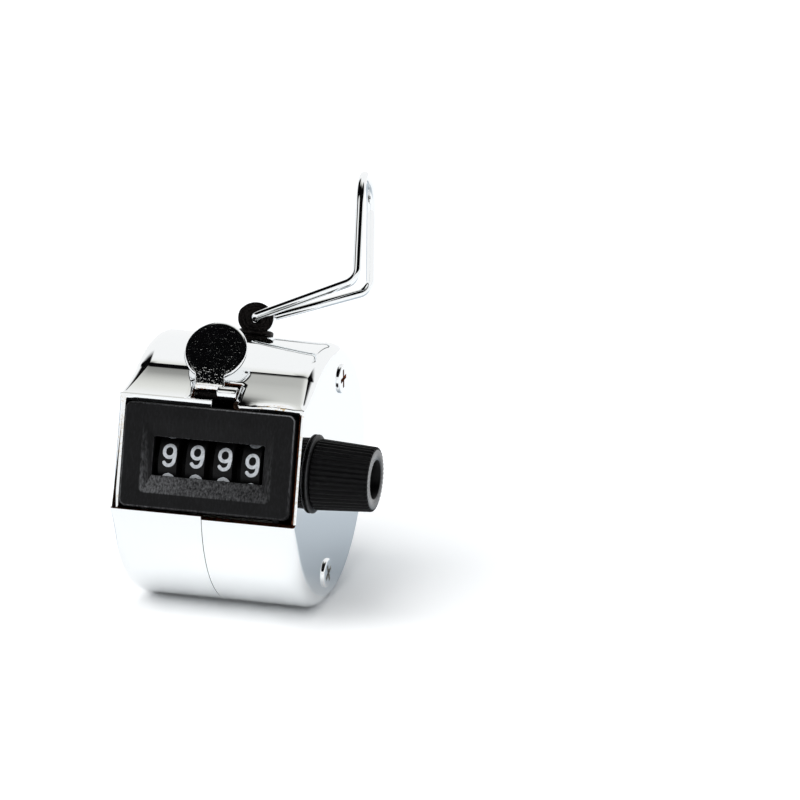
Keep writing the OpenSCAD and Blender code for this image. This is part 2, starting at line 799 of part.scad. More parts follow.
module knob_washer() {
    color(steel) stand() at(shaft) {
        tube_x(half_w + face_gap, knob_x - face_gap, knob_d - 2.4, shaft_d + 2 * fit_gap);
    }
}

// Thumb lever: round pad and neck outside, strip through the slot, hub and arm inside
module thumb_lever() {
    along = [sin(pad_lean), cos(pad_lean)];
    in = [along.y, -along.x];
    pad_mid = pad_reach - pad_d / 2;
    strip = bend - pivot;
    strip_angle = atan2(strip.y, strip.x);
    arm_angle = atan2(arm.y, arm.x);
    color(chrome) stand() translate([lever_x, 0, 0]) difference() {
        union() {
            at(bend) rotate([-pad_lean, 0, 0]) rotate([-90, 0, 0]) linear_extrude(lever_t) {
                translate([0, -pad_mid]) circle(d = pad_d);
                translate([-lever_half, -pad_mid]) square([neck_w, pad_mid]);
            }
            slab(-lever_half, lever_half) union() {
                polygon([bend, bend + lever_t * along, bend + lever_t * (along + in), bend + lever_t * in]);
                translate(pivot) rotate(strip_angle) translate([0, -lever_t / 2]) square([norm(strip), lever_t]);
                translate(bend) rotate(strip_angle) translate([-lever_t, 0]) circle(lever_t / 2);
                translate(pivot) circle(d = pivot_hub_d);
                translate(pivot) rotate(arm_angle) translate([0, -arm_h / 2]) square([norm(arm), arm_h]);
                translate(pawl_pin_at) circle(d = pawl_hub_d);
            }
        }
        at(pivot) bar_x(-far, far, pivot_d + 2 * run_gap);
        at(pawl_pin_at) bar_x(-far, far, pawl_pin_d + 2 * fit_gap);
    }
}

module lever_pin() {
    color(steel) stand() at(pivot) bar_x(-plate_out, plate_out, pivot_d);
}

// Places of the pawl's hubs on each side of the lever's arm
hub_right = lever_x + lever_half + 2.2;
hub_left = lever_x - lever_half - 2.2 - pawl_hub_w;

// Pawl: a finger over each ratchet, a bridge behind the wheels and two hubs
module drive_pawl() {
    bridge_low = pawl_pin_angle - 32;
    bridge_high = pawl_pin_angle - 12;
    first = hub_left;
    last = wheel_x[wheel_count - 1] + finger_shift + finger_w / 2;
    color(steel) stand() difference() {
        union() {
            at(pawl_arc) {
                slab(first, last) sector(pawl_out, pawl_out + pawl_t, bridge_low, bridge_high);
                for (x = wheel_x) slab(x + finger_shift - finger_w / 2, x + finger_shift + finger_w / 2) {
                    sector(pawl_in, pawl_in + pawl_t, -12, bridge_high);
                    sector(pawl_in, pawl_out + pawl_t - eps, bridge_low + 2, bridge_high - 2);
                }
                for (x = [hub_left, hub_right]) slab(x, x + pawl_hub_w) {
                    sector(pawl_out + eps, pawl_pin_r, bridge_low, pawl_pin_angle);
                }
            }
            for (x = [hub_left, hub_right]) at(pawl_pin_at) bar_x(x, x + pawl_hub_w, pawl_hub_d);
        }
        at(pawl_pin_at) bar_x(-far, far, pawl_pin_d + 2 * run_gap);
    }
}

module pawl_pin() {
    color(steel) stand() at(pawl_pin_at) bar_x(hub_left - 0.2, hub_right + pawl_hub_w + 0.2, pawl_pin_d);
}

function unit(v) = v / norm(v);

// Points of the arc that rounds the corner b between a and c
function corner(a, b, c, r, steps) =
    let(u = unit(a - b), v = unit(c - b), half = acos(u * v) / 2, mid = b + unit(u + v) * r / sin(half))
    let(e1 = unit(b + u * r / tan(half) - mid), q = b + v * r / tan(half) - mid, e2 = unit(q - (q * e1) * e1))
    [for (i = [0 : steps]) let(s = (180 - 2 * half) * i / steps) mid + r * (cos(s) * e1 + sin(s) * e2)];

// A path through points whose inner corners are rounded, each with its own radius
function rounded(points, radii, steps) = [
    points[0],
    for (i = [1 : len(points) - 2]) each corner(points[i - 1], points[i], points[i + 1], radii[i - 1], steps),
    points[len(points) - 1]
];

// Directions along a path, and side vectors carried along it without twist
function heading(path, i) = unit(path[min(i + 1, len(path) - 1)] - path[max(i - 1, 0)]);
function carried(path, side, i = 0) = i == len(path) ? [] :
    let(t = heading(path, i), s = unit(side - (side * t) * t)) concat([s], carried(path, s, i + 1));

// A round wire of a given radius swept along a path
module wire(path, r, sides, start) {
    across = carried(path, start);
    last = len(path) - 1;
    end = last * sides;
    points = [for (i = [0 : last], k = [0 : sides - 1])
        let(a = 360 * k / sides, s = across[i]) path[i] + r * (cos(a) * s + sin(a) * cross(heading(path, i), s))];
    polyhedron(points, concat(
        [for (k = [1 : sides - 2]) [0, k, k + 1]],
        [for (k = [1 : sides - 2]) [end, end + k + 1, end + k]],
        [for (i = [0 : last - 1], k = [0 : sides - 1], half = [0, 1])
            let(p = i * sides + k, q = i * sides + (k + 1) % sides)
            half == 0 ? [p, p + sides, q] : [q, p + sides, q + sides]]));
}

// A coil about X from x0, with a leg at each end
function coil(x0, r, pitch, a0, turns, leg0, leg1) = concat(
    [leg0],
    [for (i = [0 : turns * 16]) let(a = a0 + 360 * i / 16)
        [x0 + pitch * i / 16, r * cos(a), r * sin(a)]],
    [leg1]);

// Return spring: a coil on the hinge pin, one leg on the front rod and one under the lever's arm
module lever_spring() {
    r = pivot_d / 2 + spring_wire;
    x0 = lever_x - lever_half - 0.5;
    turn = -spring_wire - spring_gap;
    rod_leg = rods[0] - pivot;
    color(steel) stand() at(pivot) {
        wire(coil(x0, r, turn, 60, 3.5, [x0, rod_leg.x - rod_d, rod_leg.y - rod_d / 2 - spring_wire],
            [x0 + 3.5 * turn, arm_len * 0.45, -arm_h - spring_wire]), spring_wire / 2, 6, [1, 0, 0]);
    }
}

// Pawl spring: a coil on the pawl pin between the lever's arm and the pawl's right hub
module pawl_spring() {
    r = pawl_pin_d / 2 + spring_wire;
    turn = spring_wire + spring_gap;
    x0 = lever_x + lever_half + 0.3;
    color(steel) stand() at(pawl_pin_at) {
        wire(coil(x0, r, turn, 90, 1.5, [x0, -arm_len * 0.3, r], [x0 + 1.5 * turn, 1, -r - 0.5]),
            spring_wire / 2, 6, [1, 0, 0]);
    }
}

// Moves to the swivel post, with Z along its axis and Y along its cross hole
module on_post() {
    on_drum(post_angle) rotate([0, 0, swivel]) children();
}

// Swivel post: collar inside, stem in the seam, flange, and a barrel head with a cross hole
module swivel_post() {
    seat = drum_r + face_gap;
    collar_top = sqrt(inner_r * inner_r - post_flange_d * post_flange_d / 4) - face_gap;
    color(chrome) stand() on_post() difference() {
        union() {
            translate([0, 0, collar_top - collar_t]) cylinder(h = collar_t, d = post_flange_d);
            translate([0, 0, collar_top - eps]) cylinder(h = seat - collar_top + 2 * eps, d = stem_d);
            translate([0, 0, seat]) cylinder(h = post_flange_t, d = post_flange_d);
            intersection() {
                translate([0, barrel_len / 2, drum_r + barrel_h]) rotate([90, 0, 0]) {
                    cylinder(h = barrel_len, d = barrel_d);
                }
                translate([-barrel_d, -barrel_d, seat + eps]) cube([2 * barrel_d, 2 * barrel_d, far]);
            }
        }
        translate([0, far / 2, drum_r + barrel_h]) rotate([90, 0, 0]) cylinder(h = far, d = wire_d + 2 * run_gap + 0.06);
    }
}

// Finger ring: pins in the cross hole, two spread legs, a bend and a round loop
module finger_ring() {
    foot = [0, hook_w, 0];
    knee = [leg_len * cos(leg_lift), bend_span / 2, leg_len * sin(leg_lift)];
    crown = [knee.x + loop_len * cos(loop_lift), loop_span / 2, knee.z + loop_len * sin(loop_lift)];
    function across(p) = [p.x, -p.y, p.z];
    pin_in = 0.4;
    pin_out = hook_w - hook_r;
    start = [0, pin_out - 0.2, 0];
    path = rounded([start, foot, knee, crown, across(crown), across(knee), across(foot), across(start)],
        [hook_r, bend_round, loop_round, loop_round, bend_round, hook_r], 8);
    color(chrome) stand() on_post() translate([0, 0, drum_r + barrel_h]) union() {
        wire(path, wire_r, 12, [0, 0, 1]);
        for (side = [0, 1]) mirror([0, side, 0]) translate([0, pin_in, 0]) rotate([-90, 0, 0]) {
            cylinder(h = pin_out - pin_in, d = wire_d + 0.06);
        }
    }
}

case_left();
case_right();
case_screws();
bezel();
side_plate_left();
side_plate_right();
tie_rods();
detent_bar();
detent_comb();
detent_screws();
shaft_bushes();
reset_shaft();
shaft_clip();
wheel_washers();
wheel_at(0);  // thousands_wheel
wheel_at(1);  // hundreds_wheel
wheel_at(2);  // tens_wheel
wheel_at(3);  // units_wheel
click_at(0);  // thousands_click
click_at(1);  // hundreds_click
click_at(2);  // tens_click
click_at(3);  // units_click
knob();
knob_screw();
knob_washer();
thumb_lever();
lever_pin();
lever_spring();
drive_pawl();
pawl_pin();
pawl_spring();
swivel_post();
finger_ring();
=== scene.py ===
import math
import bpy
import bmesh
from mathutils import Matrix, Vector


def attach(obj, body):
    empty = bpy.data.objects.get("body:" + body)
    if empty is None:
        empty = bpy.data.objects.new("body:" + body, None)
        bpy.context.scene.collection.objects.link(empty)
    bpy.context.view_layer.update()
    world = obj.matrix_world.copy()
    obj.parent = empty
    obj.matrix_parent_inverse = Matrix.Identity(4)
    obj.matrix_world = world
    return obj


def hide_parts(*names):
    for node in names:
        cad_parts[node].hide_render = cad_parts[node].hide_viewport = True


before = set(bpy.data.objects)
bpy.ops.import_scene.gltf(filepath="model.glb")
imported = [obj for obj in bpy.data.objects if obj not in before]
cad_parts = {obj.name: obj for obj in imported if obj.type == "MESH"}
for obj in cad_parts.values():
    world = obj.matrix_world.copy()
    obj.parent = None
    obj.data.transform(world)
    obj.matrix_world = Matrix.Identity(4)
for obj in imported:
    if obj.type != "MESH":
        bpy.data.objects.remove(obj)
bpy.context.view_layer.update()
print("frame loaded")

# Pieces are drawn in millimetres with the drum's axis on X, then leaned back and stood on the floor
leanBack, standHeight = 14, 20.75
standing = (Matrix.Translation((0, 0, standHeight / 1000)) @ Matrix.Rotation(math.radians(-leanBack), 4, "X")
            @ Matrix.Scale(0.001, 4))
shaftSpot = Vector((0, -10.4, 0.75))
alongX = Matrix.Rotation(math.pi / 2, 4, "Y")
fullTurn = 2 * math.pi


# sRGB hex to linear
def tone(code):
    parts = [int(code[i:i + 2], 16) / 255 for i in (1, 3, 5)]
    return [p / 12.92 if p <= 0.04045 else ((p + 0.055) / 1.055) ** 2.4 for p in parts] + [1]


def clamp(value):
    return max(0, min(1, value))


# Adds a node: sockets given for its inputs are linked, and other values are set
def addNode(tree, kind, inputs={}):
    node = tree.nodes.new(kind)
    for key, value in inputs.items():
        if isinstance(value, bpy.types.NodeSocket):
            tree.links.new(value, node.inputs[key])
        elif isinstance(key, int) or key in node.inputs:
            node.inputs[key].default_value = value
        else:
            setattr(node, key, value)
    return node


def addMath(tree, operation, *terms, **more):
    return addNode(tree, "ShaderNodeMath", {"operation": operation, **more, **dict(enumerate(terms))}).outputs[0]


# Noise with a grain of a real size in millimetres
def addNoise(tree, place, size, detail, rough=0.5):
    return addNode(tree, "ShaderNodeTexNoise", {"Scale": 1000 / size, "Detail": detail, "Roughness": rough,
                                                "Vector": place}).outputs["Fac"]


# Carries a value from one span to another
def addRange(tree, value, span, to=(0, 1), smooth=False):
    return addNode(tree, "ShaderNodeMapRange",
                   {"interpolation_type": "SMOOTHSTEP" if smooth else "LINEAR", "Value": value, "From Min": span[0],
                    "From Max": span[1], "To Min": to[0], "To Max": to[1]}).outputs["Result"]


# Product of soft limits, each a value and the span over which it sets in
def addLimits(tree, *limits):
    share = 1
    for value, span in limits:
        share = addMath(tree, "MULTIPLY", share, addRange(tree, value, span, smooth=True))
    return share


def addMix(tree, share, first, second):
    return addNode(tree, "ShaderNodeMix", {"data_type": "RGBA", 0: share, 6: first, 7: second}).outputs[2]


# Colour ramp between two pairs of place and hex colour
def addRamp(tree, value, *stops):
    node = addNode(tree, "ShaderNodeValToRGB", {"Fac": value})
    for element, (place, code) in zip(node.color_ramp.elements, stops):
        element.position, element.color = place, tone(code)
    return node.outputs["Color"]


# Bump with its depth in millimetres, on top of another one if that is given
def addBump(tree, height, strength, depth, under=None):
    inputs = {"Strength": strength, "Distance": depth / 1000, "Height": height}
    if under is not None:
        inputs["Normal"] = under
    return addNode(tree, "ShaderNodeBump", inputs).outputs["Normal"]


# How far a piece is worn at each place; the same attribute also carries painted highlights on some edges
def addWearAndSheen(tree):
    return addNode(tree, "ShaderNodeAttribute", {"attribute_name": "worn"}).outputs["Fac"]


def emptyTree(owner):
    owner.use_nodes = True
    owner.node_tree.nodes.clear()
    return owner.node_tree


# Empty material, its tree and the place on the piece
def newMaterial(name):
    material = bpy.data.materials.new(name)
    tree = emptyTree(material)
    return material, tree, addNode(tree, "ShaderNodeTexCoord").outputs["Object"]


def closeMaterial(material, inputs):
    shader = addNode(material.node_tree, "ShaderNodeBsdfPrincipled", inputs)
    addNode(material.node_tree, "ShaderNodeOutputMaterial", {"Surface": shader.outputs["BSDF"]})
    return material


# What a bmesh operator gave back
def vertsIn(geom):
    return [g for g in geom if isinstance(g, bmesh.types.BMVert)]


def edgesIn(geom):
    return [g for g in geom if isinstance(g, bmesh.types.BMEdge)]


def edgesOf(verts):
    return list({e for v in verts for e in v.link_edges})


# Draws edges out into new faces, and gives the new edges and points
def drawOut(bm, edges):
    grown = bmesh.ops.extrude_edge_only(bm, edges=edges)["geom"]
    return edgesIn(grown), vertsIn(grown)


def drawFaces(bm, faces, by):
    grown = bmesh.ops.extrude_face_region(bm, geom=faces)["geom"]
    bmesh.ops.translate(bm, vec=by, verts=vertsIn(grown))


# Solid round bar along X
def addBar(bm, spot, radius, length):
    return bmesh.ops.create_cone(bm, segments=40, cap_ends=True, radius1=radius, radius2=radius, depth=length,
                                 matrix=Matrix.Translation(spot) @ alongX)["verts"]


# Turns a line of points right round an axis
def turnLine(bm, points, axis, steps, closed=False, cent=(0, 0, 0)):
    verts = [bm.verts.new(p) for p in points]
    line = [bm.edges.new(pair) for pair in zip(verts, verts[1:] + verts[:1] if closed else verts[1:])]
    bmesh.ops.spin(bm, geom=verts + line, cent=cent, axis=axis, angle=fullTurn, steps=steps, use_merge=True)


def roundOff(bm, edges, size, steps, **more):
    return bmesh.ops.bevel(bm, geom=edges, offset=size, offset_type="OFFSET", segments=steps, profile=0.5,
                           affect="EDGES", material=-1, **more)


def weld(bm, reach):
    bmesh.ops.remove_doubles(bm, verts=bm.verts[:], dist=reach)
    bmesh.ops.recalc_face_normals(bm, faces=bm.faces[:])


def addObject(name, data):
    thing = bpy.data.objects.new(name, data)
    bpy.context.scene.collection.objects.link(thing)
    return thing


def shadeEvenly(piece):
    piece.modifiers.new("evenShading", "WEIGHTED_NORMAL").keep_sharp = True


def toMesh(name, bm):
    mesh = bpy.data.meshes.new(name)
    bm.to_mesh(mesh)
    bm.free()
    return mesh


# Puts a finished bmesh in the scene and ties it to its body
def finishPiece(name, bm, body, finishes, replaced, place=standing, sharp=32, weighted=True):
    bm.transform(place)
    mesh = toMesh(name, bm)
    for finish in finishes:
        mesh.materials.append(finish)
    for face in mesh.polygons:
        face.use_smooth = True
    mesh.set_sharp_from_angle(angle=math.radians(sharp))
    piece = addObject(name, mesh)
    if weighted:
        shadeEvenly(piece)
    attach(piece, body)
    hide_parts(*replaced)
    return piece


# Camera: at the photo's height and turn, with a long lens
cameraView = {"turn": 15.34, "height": 16.38, "roll": 0.78, "distance": 0.9, "side": -0.0252, "rise": -0.01065,
              "lens": 255.96, "sensor": 36, "nearest": 0.01}
turn, height, roll = (math.radians(cameraView[key]) for key in ("turn", "height", "roll"))
towards = Vector((math.sin(turn) * math.cos(height), -math.cos(turn) * math.cos(height), math.sin(height)))
across = Vector((math.cos(turn), math.sin(turn), 0))
upright = towards.cross(across)
across, upright = (across * math.cos(roll) + upright * math.sin(roll),
                   upright * math.cos(roll) - across * math.sin(roll))
eye = Vector((0, 0, standHeight / 1000)) + towards * cameraView["distance"]
eye -= across * cameraView["side"] + upright * cameraView["rise"]
cameraData = bpy.data.cameras.new("photoCamera")
cameraData.lens, cameraData.sensor_width = cameraView["lens"], cameraView["sensor"]
cameraData.clip_start = cameraView["nearest"]
camera = addObject("photoCamera", cameraData)
camera.matrix_world = Matrix.Translation(eye) @ Matrix((across, upright, towards)).transposed().to_4x4()
bpy.context.scene.camera = camera
print("camera set")


# Chromium plate on pressed steel: a mirror with a faint waviness from the press, a few dull specks, and brass-toned
# flecks where the sheet was folded or cut, which at the fold over the window also paint in a gold reflection; grit
# under the plating of the stamping is deeper in a band over its neck, where the metal was worked
plating = {"tone": "#F3F5F6", "worn": "#C9A24F", "waveSize": 9, "smearSize": 1.1, "smear": (0.03, 0.12),
           "fleckSize": 0.45, "fleckDepth": 0.02, "gritSize": 0.3, "gritDepth": (0.45, 0.12),
           "bandBegins": (0.0381, 0.0386), "bandEnds": (0.0404, 0.0397)}
chromes = {"chromiumPlatedSteel": (0.02, 0), "chromiumPlatedWire": (0.006, 0), "chromiumPlatedStamping": (0.004, 0.03)}


def makeChrome(name):
    look, (wave, pits) = plating, chromes[name]
    material, tree, place = newMaterial(name)
    smear = addRange(tree, addNoise(tree, place, look["smearSize"], 4, 0.6), (0.45, 0.8), look["smear"])
    through = addRange(tree, addNoise(tree, place, look["fleckSize"], 3), (0.53, 0.63))
    worn = addWearAndSheen(tree)
    share = addMath(tree, "MULTIPLY", through, worn)
    normal = addBump(tree, addNoise(tree, place, look["waveSize"], 1), 1, wave)
    normal = addBump(tree, share, 0.4, look["fleckDepth"], normal)
    if pits:
        spots = addRange(tree, addNoise(tree, place, look["gritSize"], 1), (0.58, 0.72))
        up = addNode(tree, "ShaderNodeSeparateXYZ", {0: place}).outputs[2]
        band = addMath(tree, "MULTIPLY", addRange(tree, up, look["bandBegins"]), addRange(tree, up, look["bandEnds"]))
        deeper = addMath(tree, "MULTIPLY_ADD", band, *look["gritDepth"])
        normal = addBump(tree, addMath(tree, "MULTIPLY", spots, deeper), 1, pits, normal)
    plate = addMix(tree, share, tone(look["tone"]), tone(look["worn"]))
    return closeMaterial(material, {"Metallic": 1, "Base Color": plate, "Roughness": smear, "Normal": normal})


chromePlate, chromeWire, chromePad = (makeChrome(name) for name in chromes)


# Plain metals: what shows inside and at cut edges, with rolling streaks or tarnish
metals = {
    "bareSteel": {"light": "#B9B9B5", "dark": "#8B8A86", "rough": (0.28, 0.48), "grain": 0.5},
    "blackenedSteel": {"light": "#4A4A4C", "dark": "#2B2B2D", "rough": (0.35, 0.55), "grain": 0.4},
    "turnedBrass": {"light": "#C9A75A", "dark": "#9C7B3A", "rough": (0.25, 0.42), "grain": 0.6},
    "rawCutEdge": {"light": "#8A4F32", "dark": "#3A1E14", "rough": (0.35, 0.6), "grain": 0.45},
    "unplatedInside": {"light": "#4B3A30", "dark": "#241A15", "rough": (0.45, 0.7), "grain": 1.2},
    "blackTurnedEnd": {"light": "#2A2726", "dark": "#131212", "rough": (0.38, 0.55), "grain": 0.35},
}
metalDepth = 0.02


def makeMetal(name):
    look = metals[name]
    material, tree, place = newMaterial(name)
    grain = addNoise(tree, place, look["grain"], 4, 0.6)
    shade = addRamp(tree, grain, (0.35, look["dark"]), (0.65, look["light"]))
    rough = addRange(tree, grain, (0, 1), look["rough"])
    normal = addBump(tree, grain, 0.4, metalDepth)
    return closeMaterial(material, {"Metallic": 1, "Base Color": shade, "Roughness": rough, "Normal": normal})


bareSteel, blackenedSteel, turnedBrass, rawCutEdge, unplatedInside, blackTurnedEnd = map(makeMetal, metals)


# Moulded black plastics: spark-eroded mould grain breaks the sheen, with pale scuff dust in the grain and worn edges;
# the same pale tone also paints highlights on some edges
plastics = {
    "mouldedStyrene": {"base": "#0C0C0D", "worn": "#18181A", "rubAndSheen": "#848486", "rough": (0.4, 0.58), "grain": 0.27,
                       "depth": 0.03, "stretch": (1, 1, 0.2), "ior": 1.24},
    "mouldedNylon": {"base": "#070708", "worn": "#121213", "rubAndSheen": "#505051", "rough": (0.34, 0.5), "grain": 0.45,
                     "depth": 0.008, "stretch": (0.35, 1, 1), "ior": 1.2},
    "wheelAcetal": {"base": "#050506", "worn": "#0D0D0E", "rubAndSheen": "#1A1A1B", "rough": (0.38, 0.5), "grain": 0.4,
                    "depth": 0.004, "stretch": (1, 1, 1), "ior": 1.25},
    # painted sheen: the knob's end is the grip's black nylon, painted a lighter grey
    "nylonPaintedSheen": {"base": "#3C3C3D", "worn": "#4A4A4B", "rubAndSheen": "#707071", "rough": (0.14, 0.24), "grain": 0.3,
                      "depth": 0.003, "stretch": (1, 1, 1), "ior": 1.48},
}
grainTurn, cloudSize = 32, 4


def makePlastic(name):
    look = plastics[name]
    material, tree, place = newMaterial(name)
    turned = addNode(tree, "ShaderNodeMapping", {"Scale": look["stretch"], "Vector": place,
                                                 "Rotation": (0, math.radians(grainTurn), 0)}).outputs["Vector"]
    grain = addNoise(tree, turned, look["grain"], 3, 0.55)
    shade = addRamp(tree, grain, (0.45, look["base"]), (0.75, look["worn"]))
    # little wear catches the grain's peaks only, and full wear covers it; painted highlights take the pale tone the
    # same way
    worn = addWearAndSheen(tree)
    solid = addMath(tree, "MULTIPLY_ADD", addMath(tree, "POWER", worn, 3), 0.4, grain)
    share = addMath(tree, "MULTIPLY", addRange(tree, solid, (0.36, 0.82)), worn)
    rough = addRange(tree, addNoise(tree, place, cloudSize, 3), (0.3, 0.7), look["rough"])
    colour = addMix(tree, share, shade, tone(look["rubAndSheen"]))
    normal = addBump(tree, grain, 0.6, look["depth"])
    return closeMaterial(material, {"IOR": look["ior"], "Base Color": colour, "Roughness": rough, "Normal": normal})


mouldedStyrene, mouldedNylon, wheelAcetal, nylonPaintedSheen = map(makePlastic, plastics)


# Printing ink in the figures: a soft grey-white, a little thin in places
ink = {"thin": "#B4B8BD", "full": "#D3D6DA", "rough": (0.4, 0.6), "patch": 0.5, "ior": 1.5}


def makeInk():
    material, tree, place = newMaterial("figureInk")
    thin = addNoise(tree, place, ink["patch"], 3)
    shade = addRamp(tree, thin, (0.3, ink["thin"]), (0.6, ink["full"]))
    rough = addRange(tree, thin, (0, 1), ink["rough"])
    return closeMaterial(material, {"IOR": ink["ior"], "Base Color": shade, "Roughness": rough})


figureInk = makeInk()
print("materials made")

# Case: two pressed halves, each a D-shaped outline drawn out along X with a rounded outer edge
caseShell = {"radius": 21.0, "halfWidth": 15.0, "wall": 0.8, "drumEdge": 2.4, "creaseAngle": 49.4, "openTop": 10.1,
             "cutStrip": 0.2, "cutSlope": 0.4, "slotEnd": 4.5, "arcStep": 1.5, "edgeSteps": 12, "rollSteps": 8,
             "rimSteps": 12, "acrossSteps": 10, "seam": 0.03, "seamRound": 0.06, "frameRows": (2, 7),
             "facetRows": (0.36, 0.7, 1.1, 1.6, 2.2, 3.0, 3.8, 5.2), "facetTurn": 0.13,
             "upperFade": 40, "lowerFade": 16, "foldMiddle": 9.9, "foldHalf": 3.4, "swellReach": 1.1,
             "droopAcross": 7, "droopReach": 2.6}
caseSides = {
    "caseShellLeft": {"side": -1, "lip": -6.9, "lipRise": 0.2, "slotWidth": 3.6, "slotStart": 0.35, "rim": 0.8,
                      "dip": 0.06, "footRound": 0.08, "frontPlane": 18.7, "frameTop": 11.1, "frontEdge": 0.7,
                      "openSide": 13.85, "sag": 0.2, "swell": 0, "droop": 0, "cutSink": 0, "node": "case_left",
                      "growth": ((0, 0.7), (1, 3.2))},
    "caseShellRight": {"side": 1, "lip": -7.4, "lipRise": 0.5, "slotWidth": 3.75, "slotStart": -2.0, "rim": 0.55,
                       "dip": 0.035, "footRound": 0.3, "frontPlane": 18.9, "frameTop": 10.8, "frontEdge": 0.35,
                       "openSide": 14.25, "sag": 0.06, "swell": 0.5, "droop": 0.34, "cutSink": 0.2,
                       "node": "case_right", "growth": ((0, 0.35), (0.12, 1.0), (1, 2.4))},
}


# How far the sheet stands out near the fold over the window: it swells where it was rolled over the bezel, and droops
# beside the slot
def foldPush(half, x, fromFold):
    shell = caseShell
    lens = max(0, 1 - ((x - shell["foldMiddle"]) / shell["foldHalf"]) ** 2)
    swell = half["swell"] * lens * max(0, 1 - abs(fromFold) / shell["swellReach"]) ** 2
    beside = max(0, 1 - max(0, x - half["slotWidth"]) / shell["droopAcross"])
    return swell - half["droop"] * beside * max(0, 1 - abs(fromFold) / shell["droopReach"]) ** 2


# Size of the outer edge's rounding at a share of the way up the flat
def edgeAt(growth, share):
    return next(a[1] + (b[1] - a[1]) * (share - a[0]) / (b[0] - a[0])
                for a, b in zip(growth, growth[1:]) if share <= b[0] + 1e-6)


